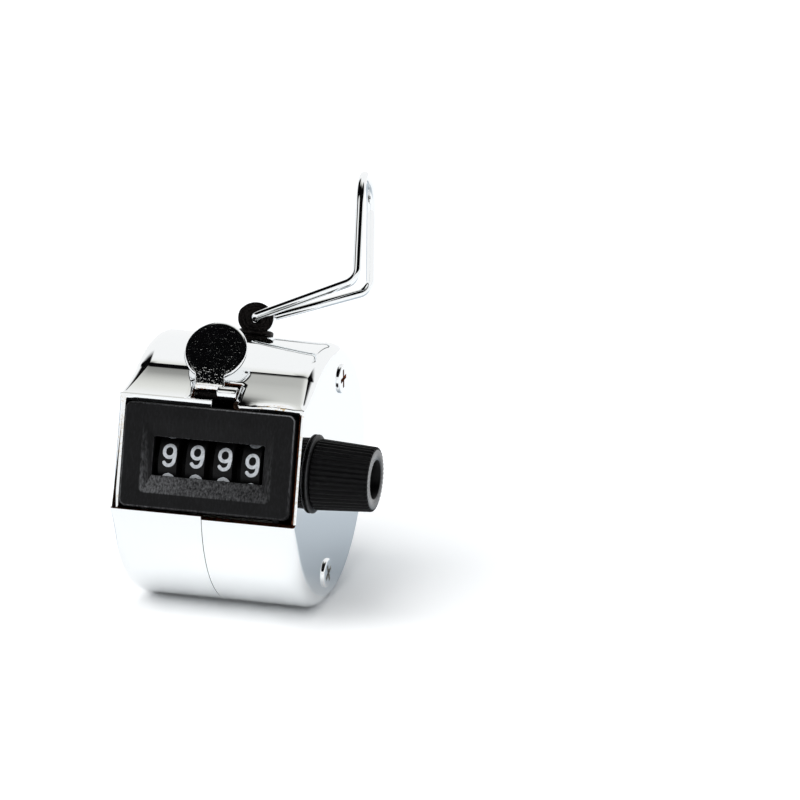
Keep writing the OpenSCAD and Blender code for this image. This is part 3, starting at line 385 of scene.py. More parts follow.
def makeCaseHalf(name):
    shell, half = caseShell, caseSides[name]
    radius, front, low = shell["radius"], half["frontPlane"], half["lip"]
    crease, lowAngle = math.radians(shell["creaseAngle"]), math.asin(-low / radius)
    foot = Vector((-front, half["frameTop"]))
    top = Vector((-math.cos(crease), math.sin(crease))) * radius
    along = (top - foot).normalized()
    out = Vector((-along.y, along.x))
    length = (top - foot).length
    # front of the outline, from the lip under the window up to the crease on the drum, each point with the size of
    # the outer edge's rounding and the way it faces: the rounding is small beside the window and grows up the flat
    fine, ahead = half["frontEdge"], Vector((-1, 0))
    shelf = low + half["lipRise"]
    spots = [(Vector((-math.sqrt(radius ** 2 - low ** 2), low)), fine, ahead)]
    spots += [(Vector((-front, z)), fine, ahead)
              for z in (shelf, shelf + 0.6, low + 4, *shell["frameRows"], shell["openTop"])]
    bend = math.acos(along.y)
    reach = half["footRound"] * math.tan(bend / 2)
    middle = Vector((half["footRound"] - front, foot.y - reach))
    for i in range(shell["rollSteps"] + 1):  # rolled edge between the frame and the flat
        a = bend * i / shell["rollSteps"]
        faces = Vector((-math.cos(a), math.sin(a)))
        spots.append((middle + faces * half["footRound"], min(fine, half["footRound"] * 0.8), faces))
    rimStart, rimSteps = length - half["rim"], shell["rimSteps"]
    parts = [(p, half["dip"] * (p / rimStart) ** 2) for p in sorted((*shell["facetRows"], shell["slotEnd"]))
             if reach + 0.05 < p < rimStart - 0.05]
    parts += [(rimStart + half["rim"] * i / rimSteps, half["dip"] * (1 - (i / rimSteps) ** 2))
              for i in range(rimSteps + 1)]
    for part, sunk in parts:
        share = (part - reach) / (length - reach)
        sunk += half["sag"] * (1 - (2 * part / length - 1) ** 2)
        faces = (out - along * shell["facetTurn"]).lerp(top.normalized(), share ** 4).normalized()
        spots.append((foot + along * part - out * sunk, edgeAt(half["growth"], share), faces))
    bm = bmesh.new()
    base, outward = (bm.verts.layers.float_vector.new(key) for key in ("base", "outward"))
    edgeSize, fromFold, worn = (bm.verts.layers.float.new(key) for key in ("edgeSize", "fromFold", "worn"))
    line = []
    for spot, size, faces in spots:
        if not line or (line[-1].co.yz - spot).length > 0.01:
            line.append(bm.verts.new((0, spot.x, spot.y)))
            line[-1][edgeSize], line[-1][outward] = size, (0, faces.x, faces.y)
            line[-1][fromFold] = (spot - foot).dot(along if spot.y > foot.y else Vector((0, 1)))
    for pair in zip(line, line[1:]):
        bm.edges.new(pair)
    sweep = fullTurn - crease - lowAngle
    bmesh.ops.spin(bm, geom=[line[-1]], cent=(0, 0, 0), axis=(-1, 0, 0), angle=sweep,
                   steps=round(math.degrees(sweep) / shell["arcStep"]))
    for v in bm.verts[len(line):]:  # full rounding round the drum
        angle = math.degrees(math.atan2(v.co.z, -v.co.y)) % 360
        upper = max(0, 1 - (angle - shell["creaseAngle"]) / shell["upperFade"])
        lower = max(0, 1 - (360 - math.degrees(lowAngle) - angle) / shell["lowerFade"]) ** 2
        v[edgeSize] = (shell["drumEdge"] + (half["growth"][-1][1] - shell["drumEdge"]) * upper
                       + (fine - shell["drumEdge"]) * lower)
        v[outward] = v.co.normalized()
        v[fromFold] = 99
    bmesh.ops.remove_doubles(bm, verts=bm.verts[:], dist=0.005)
    # flat land that it rests on
    down = Vector((0, math.sin(math.radians(leanBack)), -math.cos(math.radians(leanBack))))
    for v in bm.verts:
        v.co -= down * max(0, v.co.dot(down) - standHeight)
        v[base] = v.co
        v.co = Vector(v[base]) - Vector(v[outward]) * shell["seamRound"] * 0.8 + Vector((shell["seam"], 0, 0))
    # rings along X: seam, slot's side, across the fold, opening's side, then round the edge
    wide, side, slot = shell["halfWidth"], half["openSide"], half["slotWidth"]
    steps = [slot + (side - slot) * i / shell["acrossSteps"] for i in range(shell["acrossSteps"] + 1)]
    rings = [(x, None) for x in (shell["seam"] + shell["seamRound"], *steps, side + shell["cutStrip"],
                                 side + shell["cutSlope"])]
    rings += [(None, math.pi / 2 * i / shell["edgeSteps"]) for i in range(shell["edgeSteps"] + 1)]
    rim = bm.edges[:]
    for x, a in rings:
        rim, verts = drawOut(bm, rim)
        for v in verts:
            e = v[edgeSize]
            inward = 0 if a is None else e * (1 - math.cos(a))
            place = min(x, wide - e) if a is None else wide - e + e * math.sin(a)
            beside = shelf - 0.01 < Vector(v[base]).z < shell["openTop"] + 0.01 and v[fromFold] < 0
            if beside and a is None:  # the sheet's cut edge beside the window is sunk, then slopes out
                inward += half["cutSink"] * clamp((shell["cutSlope"] - abs(place - side))
                                                  / (shell["cutSlope"] - shell["cutStrip"]))
            push = foldPush(half, place, v[fromFold])
            # where the fold swells the brass flecks are worn plating and also a painted gold reflection; beside the
            # window they mark the worn cut edge
            v[worn] = max(min(1, 3 * push), 0.3 if beside and place > side - 0.1 else 0)
            v.co = Vector(v[base]) + Vector(v[outward]) * (push - inward) + Vector((place, 0, 0))
    bmesh.ops.contextual_create(bm, geom=rim)
    # window opening, the slot that the lever comes through, and the bare cut edges beside and under the window
    gone = []
    for f in bm.faces:
        spot = f.calc_center_median()
        part = (Vector((spot.y, spot.z)) - foot).dot(along)
        inFront = low < spot.z < shell["openTop"] and abs(spot.y + front) < 0.25
        onLip = low < spot.z < shelf and -front - 1.5 < spot.y < -front - 0.2
        inSlot = spot.z > shell["openTop"] and half["slotStart"] < part < shell["slotEnd"]
        if (spot.x < side and inFront) or (spot.x < slot and inSlot):
            gone.append(f)
        elif onLip or (half["cutSink"] and inFront and side < spot.x < side + shell["cutStrip"]):
            f.material_index = 2
    bmesh.ops.delete(bm, geom=gone, context="FACES")
    bmesh.ops.remove_doubles(bm, verts=bm.verts[:], dist=0.002)
    bmesh.ops.dissolve_degenerate(bm, edges=bm.edges[:], dist=0.001)
    bmesh.ops.recalc_face_normals(bm, faces=bm.faces[:])
    bm.normal_update()
    if max(bm.faces, key=lambda f: f.calc_area()).normal.x < 0:
        bmesh.ops.reverse_faces(bm, faces=bm.faces[:])
    if half["side"] < 0:
        bmesh.ops.scale(bm, vec=(-1, 1, 1), verts=bm.verts[:])
        bmesh.ops.reverse_faces(bm, faces=bm.faces[:])
    piece = finishPiece(name, bm, "case", [chromePlate, unplatedInside, rawCutEdge], [half["node"]],
                        sharp=40, weighted=False)
    wall = piece.modifiers.new("wall", "SOLIDIFY")
    wall.thickness, wall.offset = shell["wall"] / 1000, -1
    wall.material_offset, wall.material_offset_rim = 1, 2
    shadeEvenly(piece)


for name in caseSides:
    makeCaseHalf(name)
print("case halves made")


# Bezel: a moulded frame with a sloping window; outlines are width, height and corner
bezelFrame = {"x": 0.1, "centre": 1.8, "front": -19.6, "back": -15.5, "plateBack": -17.8, "outer": (27.6, 16.4, 1.2),
              "wall": 0.8, "innerCorner": 0.6, "window": (18.0, 6.1, 0.25), "slope": (20.7, 11.1, 0.5),
              "slopeDepth": 0.9, "points": 32, "edge": 0.45, "slopeRound": 0.5, "windowRound": 0.12,
              "shineLine": (0.05, 0.24), "sheenRight": (0.3, 0.6), "sheenBottom": 0.55, "sheenRest": 0.2,
              "rubAndSheenSlope": (0.45, 0.015)}


def makeBezel():
    b = bezelFrame
    wide, tall = b["outer"][:2]
    inner = (wide - 2 * b["wall"], tall - 2 * b["wall"], b["innerCorner"])
    sizes = [(inner, b["back"]), (b["outer"], b["back"]), (b["outer"], b["front"]), (b["slope"], b["front"]),
             (b["window"], b["front"] + b["slopeDepth"]), (b["window"], b["plateBack"]), (inner, b["plateBack"]),
             (inner, b["back"])]
    bm = bmesh.new()
    way = bm.verts.layers.float_vector.new("way")
    worn = bm.verts.layers.float.new("worn")
    turned = Matrix.Rotation(math.pi / 2, 4, "X") @ Matrix.Rotation(math.pi / b["points"], 4, "Z")
    verts = bmesh.ops.create_circle(bm, segments=b["points"], radius=1, matrix=turned)["verts"]
    for v in verts:
        v[way] = v.co
    ring = edgesOf(verts)
    rings = []
    # a ring is drawn from outline to outline, each quarter of it at its own corner
    for i, ((across, up, corner), y) in enumerate(sizes):
        if i:
            ring, verts = drawOut(bm, ring)
        for v in verts:
            v.co = Vector(v[way]) * corner
            v.co += Vector((math.copysign(across / 2 - corner, v.co.x), 0, math.copysign(up / 2 - corner, v.co.z)))
            v.co += Vector((b["x"], y, b["centre"]))
        rings.append(ring)
    # painted highlights: the rounded outer edge and the window's edge take the pale tone through the worn attribute
    rounds = [(rings[2], b["edge"], 8, 0.6), (rings[3], b["slopeRound"], 6, 0), (rings[4], b["windowRound"], 3, 0.5)]
    for ring, size, steps, edgeSheen in rounds:
        made = roundOff(bm, ring, size, steps)
        for v in made["verts"]:
            if all(f in made["faces"] for f in v.link_faces):
                v[worn] = edgeSheen
    for v in bm.verts:
        across, up, deep = v.co.x - b["x"], v.co.z - b["centre"], v.co.y - b["front"]
        # painted highlight: the outer edge is painted lighter along its middle, most at the upper right corner
        if (v[worn] and abs(across) > b["slope"][0] / 2) or abs(up) > b["slope"][1] / 2 + 0.5:
            right = b["sheenRight"][0] + b["sheenRight"][1] * (up / tall + 0.5) if across > 0.46 * wide else 0
            bottom = b["sheenBottom"] if up < -0.44 * tall else 0
            v[worn] = max(right, bottom, b["sheenRest"]) if b["shineLine"][0] < deep < b["shineLine"][1] else 0
        # thumbs wear the slope under the window, and a painted sheen lightens it, more to the left
        if 0.02 < deep < b["slopeDepth"] and up < -b["window"][1] / 2:
            v[worn] = b["rubAndSheenSlope"][0] - b["rubAndSheenSlope"][1] * v.co.x
    weld(bm, 0.001)
    finishPiece("windowBezel", bm, "case", [mouldedStyrene], ["bezel"])


makeBezel()
print("bezel made")

# Number wheels: band, web, hub and ten-tooth ratchet, with figures 0 to 9 round the band
numberWheel = {"radius": 7.35, "band": 3.1, "bandThick": 0.9, "web": 1.0, "hub": 2.6, "bore": 1.53, "ratchet": 5.4,
               "tooth": 0.9, "ratchetWide": 1.1, "figureTall": 3.7, "figureWide": 2.25, "stroke": 0.55,
               "shift": 0.22, "raise": 0.012, "lift": 0.004, "edge": 0.12, "step": 36, "points": 90}
wheelPlaces = {"thousands": (-6.75, 9.8), "hundreds": (-2.25, 11.1), "tens": (2.25, 11.0), "units": (6.75, 6.85)}
# Stroke of each figure on a grid 2 wide and 4 tall, from its lower left corner; 1 after a pair marks a sharp corner
figureStrokes = [
    [(1, 4), (0.25, 3.6), (0, 2.8), (0, 1.2), (0.25, 0.4), (1, 0), (1.75, 0.4), (2, 1.2), (2, 2.8), (1.75, 3.6),
     (1, 4)],
    [(0.35, 3.2), (1.2, 4, 1), (1.2, 0)],
    [(0, 3.1), (0.3, 3.75), (1, 4), (1.75, 3.65), (2, 3), (1.7, 2.1), (0, 0, 1), (2, 0)],
    [(0, 3.3), (0.4, 3.85), (1, 4), (1.75, 3.65), (1.95, 3), (1.65, 2.3), (1, 2.1, 1), (1.7, 1.85), (2, 1.1),
     (1.75, 0.35), (1, 0), (0.35, 0.15), (0, 0.7)],
    [(1.5, 0), (1.5, 4, 1), (0, 1.2, 1), (2.1, 1.2)],
    [(1.85, 4), (0.3, 4, 1), (0.1, 2.15, 1), (0.5, 2.4), (1.1, 2.5), (1.75, 2.15), (2, 1.3), (1.75, 0.4), (1, 0),
     (0.35, 0.15), (0, 0.7)],
    [(1.85, 3.55), (1.4, 3.9), (0.9, 4), (0.3, 3.5), (0, 2.5), (0, 1.2), (0.25, 0.4), (1, 0), (1.75, 0.4), (2, 1.2),
     (1.75, 2.05), (1, 2.4), (0.25, 2.05), (0.02, 1.5)],
    [(0, 4), (2, 4, 1), (1.2, 2), (0.8, 0)],
    [(1, 2.15), (0.3, 2.5), (0.12, 3.1), (0.35, 3.75), (1, 4), (1.65, 3.75), (1.88, 3.1), (1.7, 2.5), (1, 2.15),
     (0.25, 1.75), (0, 1.05), (0.3, 0.25), (1, 0), (1.7, 0.25), (2, 1.05), (1.75, 1.75), (1, 2.15)],
    [(1.98, 2.5), (1.75, 1.95), (1, 1.6), (0.25, 1.95), (0, 2.8), (0.25, 3.6), (1, 4), (1.75, 3.6), (2, 2.8),
     (2, 1.3), (1.75, 0.45), (1.05, 0), (0.45, 0.1), (0.1, 0.5)],
]


# One figure as a flattened round-ended stroke, standing in the XZ plane
def figureMesh(stroke):
    w = numberWheel
    curve = bpy.data.curves.new("figureStroke", "CURVE")
    curve.dimensions = "3D"
    curve.bevel_depth = w["stroke"] / 2
    curve.bevel_resolution = 2
    curve.resolution_u = 6
    curve.use_fill_caps = True
    spline = curve.splines.new("BEZIER")
    spline.bezier_points.add(len(stroke) - 1)
    fullWide, fullTall = w["figureWide"] - w["stroke"], w["figureTall"] - w["stroke"]
    for spot, point in zip(stroke, spline.bezier_points):
        point.co = ((spot[0] / 2 - 0.5) * fullWide, 0, (spot[1] / 4 - 0.5) * fullTall)
        point.handle_left_type = point.handle_right_type = "VECTOR" if len(spot) > 2 else "AUTO"
    holder = addObject("figureStroke", curve)
    bpy.context.view_layer.update()
    mesh = bpy.data.meshes.new_from_object(holder.evaluated_get(bpy.context.evaluated_depsgraph_get()))
    bm = bmesh.new()
    bm.from_mesh(mesh)
    for end in (spline.bezier_points[0].co, spline.bezier_points[-1].co):
        bmesh.ops.create_icosphere(bm, subdivisions=2, radius=w["stroke"] / 2, matrix=Matrix.Translation(end))
    bpy.data.objects.remove(holder)
    bpy.data.curves.remove(curve)
    bpy.data.meshes.remove(mesh)
    bmesh.ops.remove_doubles(bm, verts=bm.verts[:], dist=0.001)
    bmesh.ops.scale(bm, vec=(1, 2 * w["raise"] / w["stroke"], 1), verts=bm.verts[:])
    return toMesh("figure", bm)


def makeWheel(name, x, lift, figures):
    w = numberWheel
    bm = bmesh.new()
    left, right, radius, hub = -w["band"] / 2, w["band"] / 2, w["radius"], w["hub"]
    inner, web = radius - w["bandThick"], right - w["web"]
    profile = [(left, radius), (right, radius), (right, hub), (right, w["bore"]), (left, w["bore"]), (left, hub),
               (web, hub), (web, inner), (left, inner)]
    turnLine(bm, [(a, 0, r) for a, r in profile], (1, 0, 0), w["points"], closed=True)
    edges = [e for e in bm.edges if all(abs(v.co.yz.length - radius) < 0.01 for v in e.verts)
             and abs(e.verts[0].co.x - e.verts[1].co.x) < 0.01]
    roundOff(bm, edges, w["edge"], 2)
    # ratchet on the right of the band
    teeth = [Vector((right, 0, 0)) + Matrix.Rotation(math.radians(w["step"] * i), 3, "X") @ Vector((0, r, 0))
             for i in range(10) for r in (w["ratchet"], w["ratchet"] - w["tooth"])]
    plate = bm.faces.new([bm.verts.new(p) for p in teeth])
    drawFaces(bm, [plate], (w["ratchetWide"], 0, 0))
    bmesh.ops.recalc_face_normals(bm, faces=bm.faces[:])
    # figures wrapped round the band, 9 at the front and counting on from below
    for digit, figure in enumerate(figures):
        known = set(bm.verts)
        bm.from_mesh(figure)
        new = [v for v in bm.verts if v not in known]
        middle = math.radians(lift - w["step"] * ((digit + 1) % 10))
        for v in new:
            angle = middle + v.co.z / radius
            far = radius - v.co.y + w["lift"]
            v.co = Vector((v.co.x + w["shift"], -far * math.cos(angle), far * math.sin(angle)))
        for f in {f for v in new for f in v.link_faces}:
            f.material_index = 1
    bmesh.ops.translate(bm, vec=shaftSpot + Vector((x, 0, 0)), verts=bm.verts[:])
    finishPiece(name + "Wheel", bm, name, [wheelAcetal, figureInk], [name + "_wheel"])


figures = [figureMesh(stroke) for stroke in figureStrokes]
for name, (x, lift) in wheelPlaces.items():
    makeWheel(name, x, lift, figures)
print("number wheels made")

# Reset knob: a thin flange against the case, and a tapered grip with moulded ribs and a hollow end
resetKnob = {"start": 15.06, "flange": 15.6, "flangeRadius": 6.2, "grip": (5.6, 5.08), "end": 24.9, "ribs": 40,
             "groove": 0.22, "grooveForm": (0, 0, 0.35, 1, 1, 0.35), "hole": 3.0, "holeDepth": 3.4, "bore": 1.52,
             "rubAndSheen": 0.95, "points": 128}


def makeKnob():
    k = resetKnob
    bm = bmesh.new()
    way = bm.verts.layers.float_vector.new("way")
    groove = bm.verts.layers.float.new("groove")
    worn = bm.verts.layers.float.new("worn")
    low, high, end, hole, (thick, thin) = k["start"], k["flange"], k["end"], k["hole"], k["grip"]
    edge, floor = k["flangeRadius"], k["end"] - k["holeDepth"]
    profile = [(low, k["bore"]), (low, edge - 0.12), (low + 0.1, edge - 0.02), (low + 0.2, edge),
               (low + 0.3, edge - 0.02), (low + 0.38, edge - 0.1), (high, thick - 0.05), (high + 0.2, thick - 0.35)]
    turnLine(bm, [(x, 0, r) for x, r in profile], (1, 0, 0), k["points"])
    # ribbed grip drawn out along X, each rib and its groove six points wide
    form = k["grooveForm"]
    points = bmesh.ops.create_circle(bm, segments=k["ribs"] * len(form), radius=1, matrix=alongX)["verts"]
    for i, v in enumerate(points):
        v[way] = Vector((0, v.co.y, v.co.z)).normalized()
        v[groove] = form[i % len(form)] * k["groove"]
    steps = [(high + 0.02, thick - 0.3, 0), (high + 0.25, thick, 0.6), (high + 0.7, thick - 0.02, 1),
             (end - 0.5, thin + 0.03, 1), (end - 0.16, thin - 0.02, 1), (end - 0.02, thin - 0.2, 0.8),
             (end, thin - 0.42, 0), (end, hole + 0.12, 0), (end - 0.12, hole, 0), (floor, hole, 0),
             (floor, k["bore"], 0)]
    rim = edgesOf(points)
    for i, (x, r, share) in enumerate(steps):
        if i:
            rim, points = drawOut(bm, rim)
        for v in points:
            v.co = Vector(v[way]) * (r - v[groove] * share) + Vector((x, 0, 0))
    weld(bm, 0.002)
    for v in bm.verts:  # painted highlight: a lighter line along the flange's rim
        if low + 0.25 < v.co.x < high - 0.1:
            v[worn] = k["rubAndSheen"]
    for f in bm.faces:  # the end came off a polished face of the mould, and is painted a lighter grey than the grip as sheen
        if f.calc_center_median().x > end - 0.01:
            f.material_index = 1
    bmesh.ops.translate(bm, vec=shaftSpot, verts=bm.verts[:])
    finishPiece("resetKnob", bm, "shaft", [mouldedNylon, nylonPaintedSheen], ["knob"], sharp=50)


makeKnob()
print("knob made")

# Thumb lever: a stamped round pad on a neck that bends back through the slot to its hinge
thumbLever = {"x": -0.95, "padShift": -0.35, "thick": 0.9, "padRadius": 5.05, "padMiddle": 7.15, "neck": 2.4,
              "lean": 28.5, "bend": (-18.1, 12.62), "pivot": (-14.3, 11.7), "pin": (-3.3, 11.0), "bendOuter": 0.95,
              "rim": 0.34, "padEdge": 0.4, "padDrop": 0.18, "hub": 1.3, "armTall": 1.6, "armRound": 0.22, "curl": 2.2,
              "curlRadius": 1.05, "curlRound": 0.25, "curlAt": (-17.2, 12.35), "wornAtBend": 0.5, "fade": 1.5,
              "padPoints": 72, "bendSteps": 12}


def makeLever():
    t = thumbLever
    bm = bmesh.new()
    worn = bm.verts.layers.float.new("worn")
    lean, radius = math.radians(t["lean"]), t["padRadius"]
    bend, pivot, pin = (Vector((0,) + t[key]) for key in ("bend", "pivot", "pin"))
    upWay = Vector((0, math.sin(lean), math.cos(lean)))
    inWay = Vector((0, math.cos(lean), -math.sin(lean)))
    padMiddle = bend + upWay * t["padMiddle"]
    strip = (pivot - bend).normalized()
    turnBy = math.acos((-upWay).dot(strip))
    start = t["bendOuter"] * math.tan(turnBy / 2)
    # pad and neck as one flat blank
    low = math.asin(t["neck"] / radius)
    first = bm.verts.new((radius * math.sin(low), 0, -radius * math.cos(low)))
    bmesh.ops.spin(bm, geom=[first], cent=(0, 0, 0), axis=(0, -1, 0), angle=fullTurn - 2 * low, steps=t["padPoints"])
    last = min((v for v in bm.verts if v is not first and len(v.link_edges) == 1), key=lambda v: v.co.z)
    foot = [bm.verts.new((s * t["neck"], 0, start - t["padMiddle"])) for s in (-1, 1)]
    for pair in ((last, foot[0]), (foot[0], foot[1]), (foot[1], first)):
        bm.edges.new(pair)
    bmesh.ops.translate(bm, vec=(t["padShift"], 0, 0), verts=[v for v in bm.verts if v not in foot])
    blank = bmesh.ops.contextual_create(bm, geom=bm.edges[:])["faces"]
    drawFaces(bm, blank, (0, t["thick"], 0))
    place = Matrix((Vector((1, 0, 0)), inWay, upWay)).transposed().to_4x4()
    bmesh.ops.transform(bm, matrix=Matrix.Translation(padMiddle) @ place, verts=bm.verts[:])
    # the neck's end is swung round the bend and drawn in to the hinge
    end = min(bm.faces, key=lambda f: (f.calc_center_median() - bend).length if len(f.verts) == 4 else 99)
    axis = bend + upWay * start + inWay * t["bendOuter"]
    spun = bmesh.ops.spin(bm, geom=[end], cent=axis, axis=(1, 0, 0), angle=turnBy, steps=t["bendSteps"])
    tip = [g for g in spun["geom_last"] if isinstance(g, bmesh.types.BMFace)]
    if end.is_valid:
        bmesh.ops.delete(bm, geom=[end], context="FACES_ONLY")
    drawFaces(bm, tip, strip * ((pivot - bend).length - start))
    bmesh.ops.delete(bm, geom=[f for f in tip if f.is_valid], context="FACES_ONLY")
    weld(bm, 0.002)
    edges = [e for e in bm.edges if len(e.link_faces) == 2 and e.calc_face_angle() > math.radians(60)
             and abs((e.verts[1].co - e.verts[0].co).normalized().dot(inWay)) < 0.9]
    roundOff(bm, edges, t["rim"], 5, clamp_overlap=True)
    # the pad's face falls away a little all round, but not towards the neck
    face = max((f for f in bm.faces if f.normal.dot(inWay) < -0.99), key=lambda f: f.calc_area())
    middle = padMiddle + Vector((t["padShift"], 0, 0))
    fall = t["padEdge"] + t["rim"]
    for width in [t["padEdge"] / 3] * 3 + [0.04]:
        bmesh.ops.inset_individual(bm, faces=[face], thickness=width, use_even_offset=True)
    for v in bm.verts:
        away = v.co - middle
        deep, up = away.dot(inWay), away.dot(upWay)
        if deep < t["rim"] + 0.01:
            out = clamp((math.hypot(away.x, up) - radius + fall) / fall)
            oval = (t["rim"] + t["padDrop"]) * (1 - math.sqrt(1 - out ** 2))
            v.co += inWay * (oval - deep) * clamp((up + radius - 0.8) / t["fade"])
        # the plating is thin at the bend
        v[worn] = t["wornAtBend"] * clamp(1 - (v.co - bend).dot(upWay) / t["fade"])
    # curled tab beside the bend, hinge hub, arm and the pawl's hub
    curl = addBar(bm, (t["neck"] + t["curl"] / 2 - 0.5, *t["curlAt"]), t["curlRadius"], t["curl"] + 1)
    roundOff(bm, [e for e in edgesOf(curl) if abs(e.verts[0].co.x - e.verts[1].co.x) < 0.01], t["curlRound"], 4)
    plated = set(bm.faces)
    for spot in (pivot, pin):
        addBar(bm, spot, t["hub"], 2 * t["neck"])
    arm = bmesh.ops.create_cube(bm, size=1)["verts"]
    way = pin - pivot
    bmesh.ops.scale(bm, vec=(2 * t["neck"], way.length, t["armTall"]), verts=arm)
    bmesh.ops.rotate(bm, cent=(0, 0, 0), matrix=Matrix.Rotation(math.atan2(way.z, way.y), 3, "X"), verts=arm)
    bmesh.ops.translate(bm, vec=(pivot + pin) / 2, verts=arm)
    roundOff(bm, edgesOf(arm), t["armRound"], 3, clamp_overlap=True)
    for f in bm.faces:  # the hinge end is left black
        if f not in plated:
            f.material_index = 1
    bmesh.ops.translate(bm, vec=(t["x"], 0, 0), verts=bm.verts[:])
    finishPiece("thumbLever", bm, "lever", [chromePad, blackTurnedEnd], ["thumb_lever"], sharp=50)


makeLever()
print("lever made")

# Swivel post: stem and flange in the seam, and a barrel head with a cross hole and turned grooves in its ends
swivelPost = {"angle": 97, "turn": 7.5, "seat": 21.05, "flange": (2.85, 0.8), "stem": 1.5, "stemLow": 17.2,
              "collar": (2.85, 0.8), "barrel": 2.85, "barrelLong": 3.8, "barrelUp": 23.75, "hole": 0.8, "edge": 0.3,
              "flat": 0.9, "drop": 0.1, "steps": 64}
onPost = (Matrix.Rotation(math.radians(90 - swivelPost["angle"]), 4, "X")
          @ Matrix.Rotation(math.radians(swivelPost["turn"]), 4, "Z"))


def makePost():
    p = swivelPost
    bm = bmesh.new()
    seat, stem, hole, barrel, middle = p["seat"], p["stem"], p["hole"], p["barrel"], p["barrelUp"]
    (collar, collarTall), (flange, flangeTall) = p["collar"], p["flange"]
    low, collarTop, flangeTop = p["stemLow"], p["stemLow"] + collarTall, seat + flangeTall
    profile = [(0.02, low), (collar, low), (collar, collarTop), (stem, collarTop), (stem, seat), (flange - 0.1, seat),
               (flange, seat + 0.12), (flange, flangeTop - 0.2), (flange - 0.2, flangeTop), (0.02, flangeTop)]
    turnLine(bm, [(r, 0, z) for r, z in profile], (0, 0, 1), p["steps"])
    # barrel across the post, turned about its own hole
    half, e = p["barrelLong"] / 2, p["edge"]
    end = [(hole, half - 0.12), (hole + 0.12, half), (1.5, half), (1.58, half - 0.05), (1.66, half), (2.1, half),
           (2.16, half - 0.04), (2.22, half), (barrel - e, half), (barrel - e * 0.3, half - e * 0.3),
           (barrel, half - e)]
    outline = [(r, -y, middle) for r, y in end] + [(r, y, middle) for r, y in reversed(end)]
    turnLine(bm, outline, (0, 1, 0), p["steps"], closed=True, cent=(0, 0, middle))
    bmesh.ops.remove_doubles(bm, verts=bm.verts[:], dist=0.001)
    # the barrel is pressed a little flat, and its underside stays over the seat
    for v in bm.verts:
        if v.co.z > flangeTop + 0.01:
            high = v.co.z - middle
            v.co.z -= (high * (1 - p["flat"]) + p["drop"]) * clamp(abs(high) - hole)
        elif seat - 0.2 < v.co.z < seat:
            v.co.z = seat
    bmesh.ops.recalc_face_normals(bm, faces=bm.faces[:])
    for f in bm.faces:  # turned ends and flange are black, the rest is plated
        spot = f.calc_center_median()
        if abs(spot.y) > half - e * 0.9 or spot.z < seat + flangeTall * 0.9:
            f.material_index = 1
    finishPiece("swivelPost", bm, "post", [chromePlate, blackTurnedEnd], ["swivel_post"],
                place=standing @ onPost, sharp=50)


makePost()
print("post made")

# Finger ring: bent wire hooked into both ends of the barrel
fingerRing = {"wire": 0.715, "wirePoints": 28, "hook": 2.925, "hookRound": 1.1, "leg": 17.7, "legLift": 23,
              "bendSpan": 17.0, "bendRound": 2.2, "loop": 17.3, "loopLift": 94.7, "loopSpan": 12.4, "loopRound": 5.9,
              "pinIn": 0.4, "bendStep": 5}


def makeRing():
    r = fingerRing
    lift, rise = math.radians(r["legLift"]), math.radians(r["loopLift"])
    knee = Vector((r["leg"] * math.cos(lift), r["bendSpan"] / 2, r["leg"] * math.sin(lift)))
    crown = Vector((knee.x + r["loop"] * math.cos(rise), r["loopSpan"] / 2, knee.z + r["loop"] * math.sin(rise)))
    half = [Vector((0, r["pinIn"], 0)), Vector((0, r["hook"], 0)), knee, crown]
    corners = half + [Vector((p.x, -p.y, p.z)) for p in reversed(half)]
    sizes = [r["hookRound"], r["bendRound"], r["loopRound"]]
    # a ring of points is drawn straight to each bend and spun round it
    bm = bmesh.new()
    heading = (corners[1] - corners[0]).normalized()
    place = Matrix.Translation(corners[0]) @ heading.to_track_quat("Z", "Y").to_matrix().to_4x4()
    circle = bmesh.ops.create_circle(bm, segments=r["wirePoints"], radius=r["wire"], cap_ends=True, matrix=place)
    edges = edgesOf(circle["verts"])
    at = corners[0].copy()
    for size, before, here, after in zip(sizes + sizes[::-1], corners, corners[1:], corners[2:]):
        came, goes = (here - before).normalized(), (after - here).normalized()
        bend = came.angle(goes)
        stop = here - came * size * math.tan(bend / 2)
        edges, verts = drawOut(bm, edges)
        bmesh.ops.translate(bm, vec=stop - at, verts=verts)
        axis = came.cross(goes).normalized()
        middle = stop + axis.cross(came) * size
        steps = max(8, round(math.degrees(bend) / r["bendStep"]))
        edges = edgesIn(bmesh.ops.spin(bm, geom=edges, cent=middle, axis=axis, angle=bend, steps=steps)["geom_last"])
        at = here + goes * size * math.tan(bend / 2)
    edges, verts = drawOut(bm, edges)
    bmesh.ops.translate(bm, vec=corners[-1] - at, verts=verts)
    bmesh.ops.contextual_create(bm, geom=edges)
    weld(bm, 0.002)
    finishPiece("fingerRing", bm, "ring", [chromeWire], ["finger_ring"],
                place=standing @ onPost @ Matrix.Translation((0, 0, swivelPost["barrelUp"])), sharp=60, weighted=False)


makeRing()
print("ring made")

# Case screws: pan heads with a cross recess
caseScrew = {"y": 1.0, "up": 15.4, "side": 15.0, "head": 2.35, "tall": 0.42, "top": 0.72, "arm": 1.5, "armWide": 0.36,
             "deep": 0.7, "taper": 0.62, "shank": 1.0, "long": 6.0, "turns": (18, 40), "points": 48,
             "headForm": ((0.88, 0.04), (0.95, 0.1), (0.99, 0.2), (1.0, 0.3))}


